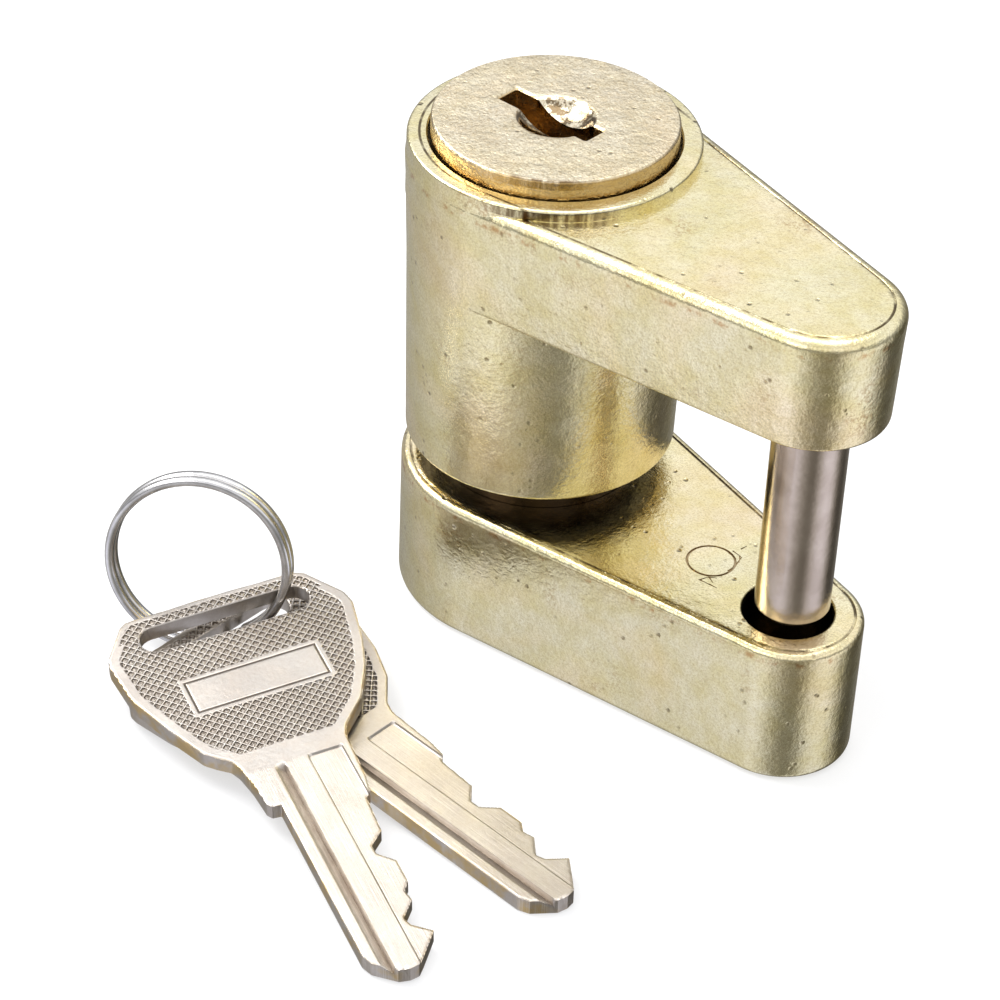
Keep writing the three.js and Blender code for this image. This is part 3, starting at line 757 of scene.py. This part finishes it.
def make_head():
    foot = 0.4
    rings = [(arm_section(ARM_Z0, foot - out), ARM_Z0 + h) for h, out in quarter(foot, 5)]
    rings += [(arm_section(z), z) for z in (36.5, 39, 41.5)]
    rings += [(arm_section(ARM_Z1, inset), ARM_Z1 - ARM_FILLET + h)
              for inset, h in quarter(ARM_FILLET, 9)]
    # fine groove just inside the fillet: inset, depth below the top
    for inset, depth in ((1.11, 0.06), (1.18, 0.05), (1.26, 0), (1.6, 0)):
        rings.append((arm_section(ARM_Z1, inset), ARM_Z1 - depth))
    head = loft("upper_casting", rings)

    # barrel below the arm, a hair inside the arm's wall
    barrel_r, edge, gap = 11.79, 0.45, 0.004
    barrel = [(0, BARREL_Z), (11.2, BARREL_Z)]
    barrel += [(barrel_r - edge + edge * math.sin(t), BARREL_Z + edge - edge * math.cos(t))
               for t in np.linspace(0.1, math.pi / 2, 6)]
    barrel += [(arm_r(ARM_Z0) - gap - (ARM_Z0 - z) * 0.0161, z) for z in (20, 25, 30)]
    barrel += [(arm_r(ARM_Z0) - gap, ARM_Z0), (arm_r(36) - gap, 36), (0, 36)]
    cut(head, lathe("tool", barrel, 200), "UNION")
    boss = rounded([(0, 40), (BOSS_R, 40), (BOSS_R, BOSS_Z), (0, BOSS_Z)],
                   [0, 0, 0.3, 0], 5, closed=False)
    cut(head, lathe("tool", boss, 200), "UNION")
    cut(head, lathe("tool", [
        (0, 15), (10.5, 15), (10.5, BARREL_Z), (10.2, BARREL_Z + 0.3), (10.2, 20.1),
        (7.8, 20.1), (7.8, 21.6), (9.0, 21.6), (9.0, 24.6), (7.0, 24.6), (7.0, 25.4),
        (8.3, 25.4), (8.3, 43.4), (WELL_R, 43.4), (WELL_R, BOSS_Z - 0.12),
        (WELL_R + 0.12, BOSS_Z + 0.001), (WELL_R + 0.12, 48), (0, 48)], 160))
    # flat-sided room for the latch plate
    room = prism("tool", circle(10.2, 160), 20.0, 21.6)
    cut(room, box(-11, 11, -8.1, 8.1, 19, 22), "INTERSECT")
    cut(head, room)
    cut(head, lathe("tool", [
        (0, 33), (3.45, 33), (3.45, ARM_Z0), (3.22, ARM_Z0 + 0.22), (3.22, 42.5), (0, 42.5)],
        96, (PIN_X, 0)))
    finish(head, "head", GOLD_CASTING, ["lock_body"], sharp=40)


def make_head_parts():
    pin = rounded([(0, 13.85), (2.6, 13.85), (3.175, 14.45), (3.175, 42.4), (0, 42.4)],
                  [0, 0.25, 0.3, 0.1, 0], 5, closed=False)
    finish(lathe("shackle_pin_ground", pin, 128, (PIN_X, 0)), "head",
           PIN_STEEL, ["shackle_pin"])
    ring = rounded([(9.25, 16.35), (10.15, 16.35), (10.15, 20.0), (8.0, 20.0), (8.0, 19.3),
                    (9.25, 19.3)], 0.12, 3)
    finish(lathe("end_ring_turned", ring), "head", ZINC, ["end_ring"])
    tube = rounded([(6.1, 25.45), (8.2, 25.45), (8.2, 43.3), (6.1, 43.3)], 0.12, 3)
    shell = lathe("cylinder_shell_turned", tube, 128)
    for k in range(4):
        cut(shell, turn(box(5, 7.1, -2.7, 2.7, 27.4, 44), 90 * k + KEYWAY_TURN))
    finish(shell, "head", BRASS, ["cylinder_shell"])


# ---------------------------------------------------------------- plug
def make_plug():
    """Plug with its face disc, dimple and keyway."""
    sphere_r = (CUP_R ** 2 + CUP_DEPTH ** 2) / (2 * CUP_DEPTH)
    sphere_z = FACE_Z - CUP_DEPTH + sphere_r
    cup = [(CUP_R * s, sphere_z - math.sqrt(sphere_r * sphere_r - (CUP_R * s) ** 2))
           for s in np.linspace(1, 0, 22)[1:]]
    profile = [
        (0, 22.95), (2.8, 22.95), (3.0, 23.07), (3.0, 23.12), (2.45, 23.12), (2.45, 23.48),
        (3.0, 23.48), (3.0, 24.3), (6.0, 24.3), (6.0, 43.6), (FACE_R, 43.6),
        (FACE_R, 44.6), (FACE_R, 45.6)]
    profile += rounded([(FACE_R, 45.7), (FACE_R, FACE_Z - 0.2), (FACE_R - 0.16, FACE_Z),
                        (9.3, FACE_Z)], [0, 0.1, 0.14, 0], 4, closed=False)
    profile += [(8, FACE_Z), (6, FACE_Z), (4.4, FACE_Z), (3.62, FACE_Z - 0.004),
                (3.42, FACE_Z - 0.03)]
    plug = lathe("plug_with_face", profile + cup, 192)
    cut(plug, box(2.2, 4, -4, 4, 22, 24.3))

    def slot(x0, x1, half, radius):
        return rounded(rect(x0, x1, -half, half), radius, 4)

    mouth = slot(-5.4, 4.2, 1.15, 0.22)
    keyway = prism("tool", mouth, 42.9, 48)
    cut(keyway, prism("tool", slot(-4.3, 4.1, 1.15, 0.15), 25.4, 44), "UNION")
    # broken edge round the keyway's mouth
    flare = np.array(slot(-5.62, 4.42, 1.37, 0.3))
    cut(keyway, loft("tool", [(np.array(mouth), FACE_Z - 0.2), (flare, FACE_Z + 0.02),
                              (flare, FACE_Z + 0.6)]), "UNION")
    # rooms for the wafers and their springs
    for z in WAFER_Z:
        cut(keyway, box(-7, 7, -2.6, 2.6, z - 0.6, z + 0.6), "UNION")
        cut(keyway, box(-3.6, 1.6, 2.4, 4.1, z - 0.6, z + 0.6), "UNION")
    cut(plug, turn(keyway, KEYWAY_TURN))
    finish(plug, "plug", GOLD_FACE, ["lock_plug"], sharp=38)


# ---------------------------------------------------------------- wafers and springs
def make_wafer(i, z):
    def arc(middle):
        half = math.asin(WAFER_HALF_W / WAFER_R)
        return [(WAFER_R * math.cos(t), WAFER_R * math.sin(t))
                for t in np.linspace(middle - half, middle + half, 14)]

    tab = [(0.5, WAFER_HALF_W), (0.5, 3.9), (-0.5, 3.9), (-0.5, WAFER_HALF_W)]
    wafer = prism(f"wafer_plate_{i + 1}", arc(0) + tab + arc(math.pi), z - 0.5, z + 0.5)
    shift = 0.35 * ((i * 3) % 5) / 4 - 0.15
    window = rounded(rect(-3.6 + shift, 3.6 + shift, -1.25, 1.25), 0.25, 3)
    cut(wafer, prism("tool", window, z - 1, z + 1))
    turn(wafer, KEYWAY_TURN)
    finish(wafer, f"wafer_{i + 1}_body", BRASS, [f"wafer_{i + 1}"], bevel=0.05)


def make_coil(i, z):
    """Spring along X beside the wafer."""
    turns, length, coil_r, wire_r = 3.25, 2.72, 0.36, 0.11
    steps, around = 150, 10
    verts = []
    for s in range(steps + 1):
        t = s / steps
        angle = 2 * math.pi * turns * t
        cos, sin = math.cos(angle), math.sin(angle)
        centre = np.array([-3.4 + length * t, coil_r * cos, coil_r * sin])
        tangent = np.array([length / (2 * math.pi * turns), -coil_r * sin, coil_r * cos])
        tangent /= np.linalg.norm(tangent)
        outward = np.array([0, cos, sin])
        side = np.cross(tangent, outward)
        for j in range(around):
            q = 2 * math.pi * j / around
            verts.append(centre + wire_r * (math.cos(q) * outward + math.sin(q) * side))
    coil = skin(f"wafer_coil_{i + 1}", np.array(verts) + np.array([0, 3.33, z]), around)
    finish(turn(coil, KEYWAY_TURN), "plug", SPRING_STEEL,
           [f"wafer_spring_{i + 1}"])


# ---------------------------------------------------------------- cam, clip and latch
CAM_PIN_R, CAM_PIN_ANGLE = 7.4, -45


def make_cam():
    disc = prism("drive_cam_disc", circle(8.5, 160), 23.5, 24.2)
    cut(disc, prism("tool", [(min(x, 2.25), y) for x, y in circle(3.06, 96)], 23, 25))
    finish(disc, "plug", ZINC, bevel=0.08)
    angle = math.radians(CAM_PIN_ANGLE)
    pin = rounded([(0, 20.3), (0.6, 20.3), (0.6, 23.52), (0, 23.52)],
                  [0, 0.12, 0, 0], 4, closed=False)
    centre = (CAM_PIN_R * math.cos(angle), CAM_PIN_R * math.sin(angle))
    finish(lathe("drive_cam_pin", pin, 48, centre), "plug", ZINC, ["drive_cam"])


def make_clip():
    angles = np.linspace(math.radians(35), math.radians(325), 80)
    outline = [(4.3 * math.cos(t), 4.3 * math.sin(t)) for t in angles]
    outline += [(2.52 * math.cos(t), 2.52 * math.sin(t)) for t in angles[::-1]]
    finish(prism("cam_clip_ring", rounded(outline, 0.3, 4), 23.15, 23.45), "plug",
           SPRING_STEEL, ["cam_clip"], bevel=0.05)


def make_latch():
    """Plate with a curved slot that follows the cam pin while the plate slides in X."""
    travel, half_width, ends = 1.2, 0.7, (-1, 91)

    def pin_place(degrees):
        t = math.radians(degrees + CAM_PIN_ANGLE)
        return np.array([CAM_PIN_R * math.cos(t) - travel * degrees / 90,
                         CAM_PIN_R * math.sin(t)])

    latch = prism("latch_plate_steel", circle(8.8, 160), 20.2, 21.5)
    cut(latch, box(-10, 10, -8, 8, 19, 23), "INTERSECT")
    cut(latch, lathe("tool", [(0, 19), (5.2, 19), (5.2, 23), (0, 23)], 128))
    left, right = [], []
    for degrees in np.linspace(*ends, 48):
        place = pin_place(degrees)
        ahead = pin_place(degrees + 0.1) - place
        ahead /= np.linalg.norm(ahead)
        side = half_width * np.array([-ahead[1], ahead[0]])
        left.append(place + side)
        right.append(place - side)
    cut(latch, prism("tool", left[::-1] + right, 19, 23))
    for degrees in ends:
        cut(latch, lathe("tool", [(0, 19), (half_width, 19), (half_width, 23), (0, 23)], 48,
                         tuple(pin_place(degrees))))
    finish(latch, "latch", SPRING_STEEL, ["latch_plate"], bevel=0.08)


# ---------------------------------------------------------------- keys
# outline corners: along, across, corner radius
KEY_CORNERS = [
    (0.2, 0.3, 0.1), (0.3, -0.5, 0.3), (1.0, -1.15, 0.3), (3.15, -2.95, 0.12),
    (4.41, -1.5, 0.3), (5.24, -1.25, 0.3), (6.75, -2.6, 0.12), (7.8, -2.4, 0.12),
    (8.63, -3.05, 0.12), (9.6, -3.05, 0.1), (11.02, -3.05, 0.12), (12.29, -1.85, 0.35),
    (13.23, -1.8, 0.35), (14.43, -3.15, 0.15), (18.2, -3.4, 0.2), (18.6, -3.9, 0.3),
    (20.28, -4.2, 0.25), (23.06, -4.35, 1), (25.2, -4.45, 2), (26.33, -4.95, 1.5),
    (27.4, -6.0, 1.5), (28.67, -7.25, 2), (32.0, -9.0, 4), (34.93, -9.95, 4),
    (39.59, -10.87, 1.5), (41.0, -10.6, 1.5), (44.5, -8.3, 0.8), (44.95, -7.5, 0.8),
    (45.1, 0, 0), (44.95, 8.0, 0.8), (44.5, 8.7, 0.8), (41.2, 10.9, 1.0),
    (40.36, 11.0, 1.0), (35.98, 10.6, 5), (31.6, 8.9, 4), (27.9, 7.2, 1.2),
    (27.06, 6.4, 1), (26.2, 5.4, 1), (25.24, 5.0, 2), (23.09, 4.6, 2),
    (20.66, 4.4, 0.25), (20.2, 4.1, 0.25), (20.1, 3.33, 0.15), (2.9, 3.3, 0.4),
    (1.9, 2.9, 0.4), (0.4, 1.2, 0.3),
]
KEY_OUTLINE = np.array(rounded([c[:2] for c in KEY_CORNERS], [c[2] for c in KEY_CORNERS]))


def outline_distance(points):
    best = np.full(len(points), 1e9)
    for a, b in zip(KEY_OUTLINE, np.roll(KEY_OUTLINE, -1, 0)):
        d = b - a
        squared = d @ d
        if squared < 1e-12:
            continue
        t = np.clip(((points - a) @ d) / squared, 0, 1)
        q = points - a - t[:, None] * d
        best = np.minimum(best, q[:, 0] ** 2 + q[:, 1] ** 2)
    return np.sqrt(best)


def slot_distance(along, across):
    beyond = across - np.clip(across, -SLOT_CENTRE, SLOT_CENTRE)
    return np.abs(np.hypot(along - SLOT_ALONG, beyond) - SLOT_R)


def smooth(x, a, b):
    t = np.clip((x - a) / (b - a), 0, 1)
    return t * t * (3 - 2 * t)


def relief(along, across, to_edge, to_slot):
    """Height of the upper face, with the grip's mask and the groove's depth."""
    # pitted grip: raised lattice lines with small square pits between
    p = (along * GRIP_COS + across * GRIP_SIN) / GRIP_PITCH
    q = (-along * GRIP_SIN + across * GRIP_COS) / GRIP_PITCH
    from_p, from_q = np.abs(p - np.round(p)) * GRIP_PITCH, np.abs(q - np.round(q)) * GRIP_PITCH
    cell = smooth(np.minimum(from_p, from_q), 0.05, 0.17)
    border = np.where(along > SLOT_ALONG + 0.4, 0.5, 0.95)
    grip = smooth(to_edge, border - 0.02, border + 0.1) * smooth(to_slot, 0.12, 0.2)
    grip *= smooth(along, 26.6, 26.75)
    panel = np.maximum(np.abs(along - PANEL_ALONG) - PANEL_W / 2,
                       np.abs(across) - PANEL_ACROSS / 2)
    grip *= smooth(panel, 0.42, 0.5)
    z = -0.12 * cell * grip
    # frame line round the plain panel
    z -= 0.06 * (1 - smooth(np.abs(panel + PANEL_LINE), 0.04, 0.12))
    # warding groove: steep wall on the low side, long slope on the other
    low, deepest, high, depth = 1.4, 1.5, 2.35, 0.55
    groove = np.where((across > deepest) & (across < high),
                      (high - across) / 0.85 * depth, 0)
    groove = np.where((across <= deepest) & (across > low),
                      (across - low) / 0.1 * depth, groove)
    groove = groove * smooth(24.5 - along, 0.0, 0.9)
    z -= groove
    # milled step along the bitting side
    step = smooth(-0.65 - across, 0, 0.1)
    step *= np.where(along > 18.2, smooth(across + 3.72, 0, 0.1), 1.0)
    curve = 0.25 * np.clip(np.abs(across + 2.2) - 1.0, 0, 1) ** 2
    step *= smooth(24.35 - along - curve, 0, 0.12)
    z -= 0.2 * step
    # broken edges
    for distance, r in ((to_edge, 0.16), (to_slot, 0.2)):
        c = np.clip(r - distance, 0, r)
        z -= r - np.sqrt(r * r - c * c)
    return z, grip, groove


def make_key(name):
    """Upper face as a fine relief, trimmed to the outline and the slot."""
    grid = 0.078
    rows = np.concatenate([np.arange(-0.6, 25.6, 0.13), np.arange(25.6, 45.9, grid)])
    along, across = np.meshgrid(rows, np.arange(-11.6, 11.7, grid), indexing="ij")
    flat = np.stack([along.ravel(), across.ravel()], 1)
    to_edge = outline_distance(flat).reshape(along.shape)
    height = relief(along, across, to_edge, slot_distance(along, across))[0]
    index = np.arange(along.size).reshape(along.shape)
    faces = np.stack([index[:-1, :-1], index[1:, :-1], index[1:, 1:], index[:-1, 1:]], -1)
    faces = faces.reshape(-1, 4).tolist()
    # walls and a floor close the grid into a slab
    loop = (list(index[:, 0]) + list(index[-1, 1:]) + list(index[-2::-1, -1])
            + list(index[0, -2:0:-1]))
    verts = [np.stack([along.ravel(), across.ravel(), height.ravel()], 1),
             np.array([[flat[i, 0], flat[i, 1], -KEY_T - 1] for i in loop])]
    first, count = along.size, len(loop)
    for k in range(count):
        j = (k + 1) % count
        faces.append([loop[k], first + k, first + j, loop[j]])
    faces.append([first + k for k in range(count)][::-1])
    slab = raw(name, np.concatenate(verts), faces)

    trim = prism("tool", KEY_OUTLINE, -KEY_T, 2)
    slot = []
    for side, start in ((1, 0), (-1, math.pi)):
        for i in range(13):
            t = start + math.pi * i / 12
            slot.append((SLOT_ALONG + SLOT_R * math.cos(t),
                         side * SLOT_CENTRE + SLOT_R * math.sin(t)))
    cut(trim, prism("tool", slot, -3, 4))
    cut(slab, trim, "INTERSECT")

    mesh = slab.data
    points = np.zeros(len(mesh.vertices) * 3)
    mesh.vertices.foreach_get("co", points)
    x, y, z = (points.reshape(-1, 3) / MM).T
    to_edge = outline_distance(np.stack([x, y], 1))
    _, grip, groove = relief(x, y, to_edge, slot_distance(x, y))
    top = z > -1.0
    attributes = {
        "along": x,
        "across": y,
        "edge": np.clip(1 - to_edge / 0.22, 0, 1),
        # groove depth, read by the shader for painted shade
        "low": np.where(top, np.clip(groove * 2, 0, 1), 0),
        "grip": np.where(top, grip, 0),
        "topside": np.where(top, 1.0, 0.0),
        "blade": np.clip((24.6 - x) / 0.4, 0, 1),
    }
    for key, values in attributes.items():
        layer = mesh.attributes.new(key, "FLOAT", "POINT")
        layer.data.foreach_set("value", np.asarray(values, np.float32))
    return slab


def key_pose(tip, heading, rise, roll):
    """heading is the way from tip to bow, from +X; rise lifts the bow; roll is about it."""
    heading, rise, roll = map(math.radians, (heading, rise, roll))
    ahead = np.array([math.cos(heading), math.sin(heading), 0])
    side = np.array([-ahead[1], ahead[0], 0])
    along = ahead * math.cos(rise) + np.array([0, 0, 1]) * math.sin(rise)
    across = side * math.cos(roll) + np.cross(along, side) * math.sin(roll)
    return pose(along, across, np.cross(along, across), np.array(tip) * MM)


def make_keys():
    front = make_key("key_front")
    back = add_object("key_back", front.data.copy())
    front.data.transform(key_pose((32.2, -43.46, 1.66), heading=160.97, rise=4.7, roll=-4.1))
    back.data.transform(key_pose((34.35, -28.45, 1.66), heading=182.4, rise=1.55, roll=-2.6))
    for ob, letter in ((front, "a"), (back, "b")):
        finish(ob, f"key_{letter}_body", KEY_METAL, [f"key_{letter}"],
               sharp=55, weighted=False)


# ---------------------------------------------------------------- split ring
def make_split_ring():
    """Flattened wire coiled nearly twice, tilted about the camera's level axes."""
    centre = np.array([-12.025, -28.821, 8.184])
    azimuth, tilt_right, tilt_away = map(math.radians, (CAMERA_AZIMUTH, 39.29, 79.3))
    coil_r, coil_pitch, turns, start = 7.784, 1.069, 1.95, -1.75     # start in radians
    half_radial, half_axial, squareness = 0.415, 0.47, 0.82
    steps, around = 420, 20

    up = np.array([0, 0, 1.0])
    right = np.array([math.cos(azimuth), math.sin(azimuth), 0])
    away = np.array([-math.sin(azimuth), math.cos(azimuth), 0])
    axis_u = right * math.cos(tilt_right) + up * math.sin(tilt_right)
    axis_v = away * math.cos(tilt_away) + up * math.sin(tilt_away)
    axis_v -= (axis_v @ axis_u) * axis_u
    axis_v /= np.linalg.norm(axis_v)
    axis = np.cross(axis_u, axis_v)

    def squared(v):
        return math.copysign(abs(v) ** squareness, v)

    verts = []
    for k in range(steps + 1):
        t = k / steps
        angle = 2 * math.pi * turns * t + start
        size = 1.0 if 0 < k < steps else 0.8
        outward = axis_u * math.cos(angle) + axis_v * math.sin(angle)
        rise = coil_pitch * (turns * t - turns / 2)
        for i in range(around):
            q = 2 * math.pi * (i + 0.5) / around
            verts.append(centre
                         + outward * (coil_r + half_radial * size * squared(math.cos(q)))
                         + axis * (rise + half_axial * size * squared(math.sin(q))))
    finish(skin("split_ring", verts, around), "ring", RING_STEEL, ["key_ring"],
           sharp=50)


# ---------------------------------------------------------------- stage
# reflected floor: bearing from the camera's side, brightness
FLOOR_BANDS = [
    (-180, .36), (-126, .46), (-100, .58), (-82, .68), (-62, .88), (-46, 1.0), (-32, .80),
    (-16, .46), (2, .24), (16, .2), (27, .40), (36, .68), (50, .93), (66, .98), (80, .78),
    (93, .32), (104, .10), (122, .07), (150, .2), (180, .36)]
# world: sine of the elevation, brightness
SKY_BANDS = [(-1.0, 0.4), (-0.05, 0.45), (0.03, 0.28), (0.25, 0.42), (0.42, 1.05),
             (0.60, 1.26), (0.74, 0.86), (0.86, 1.05), (1.0, 1.25)]
# area lights: name, place and target in metres, side in metres, power in watts
LIGHTS = [
    ("top_soft", (-0.03, 0.06, 0.45), (0.01, -0.01, 0.02), 0.30, 0.55),
    ("front_fill", (0.02, -0.42, 0.30), (0.01, -0.01, 0.02), 0.22, 0.25),
    ("left_strip", (-0.27, -0.10, 0.33), (0.01, -0.01, 0.03), 0.24, 1.5),
]


def floor_material():
    n = Nodes(bpy.data.materials.new("studio_white"))
    matte = n.principled((0.9, 0.9, 0.9), rough=0.7, metal=0.0)
    rays = n.node("LightPath").outputs
    plain = n.mix_shader(0.55, matte, n.emission((1, 1, 1), strength=1.06))
    # seen in reflections, the floor is lit in bands of light and shade by bearing
    incoming = n.node("NewGeometry").outputs["Incoming"]
    x, y, _ = n.node("SeparateXYZ", {0: incoming}).outputs
    front = math.radians(CAMERA_AZIMUTH - 90)
    cos, sin = math.cos(front), math.sin(front)
    ahead = n.add(n.mul(x, -cos), n.mul(y, -sin))
    aside = n.add(n.mul(x, sin), n.mul(y, -cos))
    bearing = n.math("DIVIDE", n.math("ARCTAN2", aside, ahead), 2 * math.pi)
    # darker bands are warmer
    stops = [((degrees + 180) / 360, (v * 0.99, v * (0.95 + 0.06 * v), v * (0.80 + 0.36 * v)))
             for degrees, v in FLOOR_BANDS]
    bands = n.ramp(n.add(bearing, 0.5), stops)
    glow = n.emission(bands, n.remap(rays["Ray Length"], (0.0, 0.045), (0.9, 1.14)))
    return n.done(n.mix_shader(rays["Is Glossy Ray"], plain, glow))


def make_floor():
    bm = bmesh.new()
    bmesh.ops.create_grid(bm, x_segments=2, y_segments=2, size=3.0)
    mesh = bpy.data.meshes.new("floor")
    bm.to_mesh(mesh)
    bm.free()
    floor = add_object("floor", mesh)
    floor.location.z = -0.00002
    floor.data.materials.append(floor_material())


def make_world():
    """White to the camera, banded by elevation to everything else."""
    world = bpy.data.worlds.new("studio")
    bpy.context.scene.world = world
    n = Nodes(world, "OutputWorld")
    direction = n.node("TexCoord").outputs["Generated"]
    height = n.rise(n.node("SeparateXYZ", {0: direction}).outputs[2], -1, 1)
    sky = n.ramp(height, [((sine + 1) / 2, (v * 0.985, v, v * 1.05)) for sine, v in SKY_BANDS])
    lit = n.node("Background", {0: sky, 1: 1.0}).outputs[0]
    white = n.node("Background", {0: (1, 1, 1), 1: 1.0}).outputs[0]
    n.done(n.mix_shader(n.node("LightPath").outputs["Is Camera Ray"], lit, white))


def make_lights():
    for name, place, target, side, power in LIGHTS:
        light = bpy.data.lights.new(name, "AREA")
        light.shape = "RECTANGLE"
        light.size = light.size_y = side
        light.energy = power
        ob = add_object(name, light)
        ob.location = place
        aim = Vector(target) - Vector(place)
        ob.rotation_euler = aim.to_track_quat("-Z", "Y").to_euler()


def make_camera():
    elevation, azimuth, roll = map(math.radians, (37.005, CAMERA_AZIMUTH, 2.655))
    # where the origin lies from the camera, in mm along its own axes
    origin_right, origin_down, origin_ahead = 2.890, 5.956, 303.570
    forward = -np.array([math.sin(azimuth) * math.cos(elevation),
                         -math.cos(azimuth) * math.cos(elevation), math.sin(elevation)])
    level = np.cross(forward, [0, 0, 1])
    level /= np.linalg.norm(level)
    upright = np.cross(level, forward)
    right = math.cos(roll) * level + math.sin(roll) * upright
    up = -math.sin(roll) * level + math.cos(roll) * upright
    place = (origin_down * up - origin_right * right - origin_ahead * forward) * MM

    data = bpy.data.cameras.new("camera")
    data.lens = 120.438
    data.sensor_width = 36
    data.sensor_fit = "HORIZONTAL"
    data.clip_start = 0.01
    data.clip_end = 20
    camera = add_object("camera", data)
    camera.matrix_world = pose(right, up, -forward, place)
    scene = bpy.context.scene
    scene.camera = camera
    scene.view_settings.view_transform = "Standard"
    scene.view_settings.look = "None"


# ---------------------------------------------------------------- build
make_base()
make_post()
make_head()
make_head_parts()
make_plug()
for number, wafer_z in enumerate(WAFER_Z):
    make_wafer(number, wafer_z)
    make_coil(number, wafer_z)
make_cam()
make_clip()
make_latch()
make_keys()
make_split_ring()
make_floor()
make_world()
make_lights()
make_camera()

bpy.context.view_layer.update()
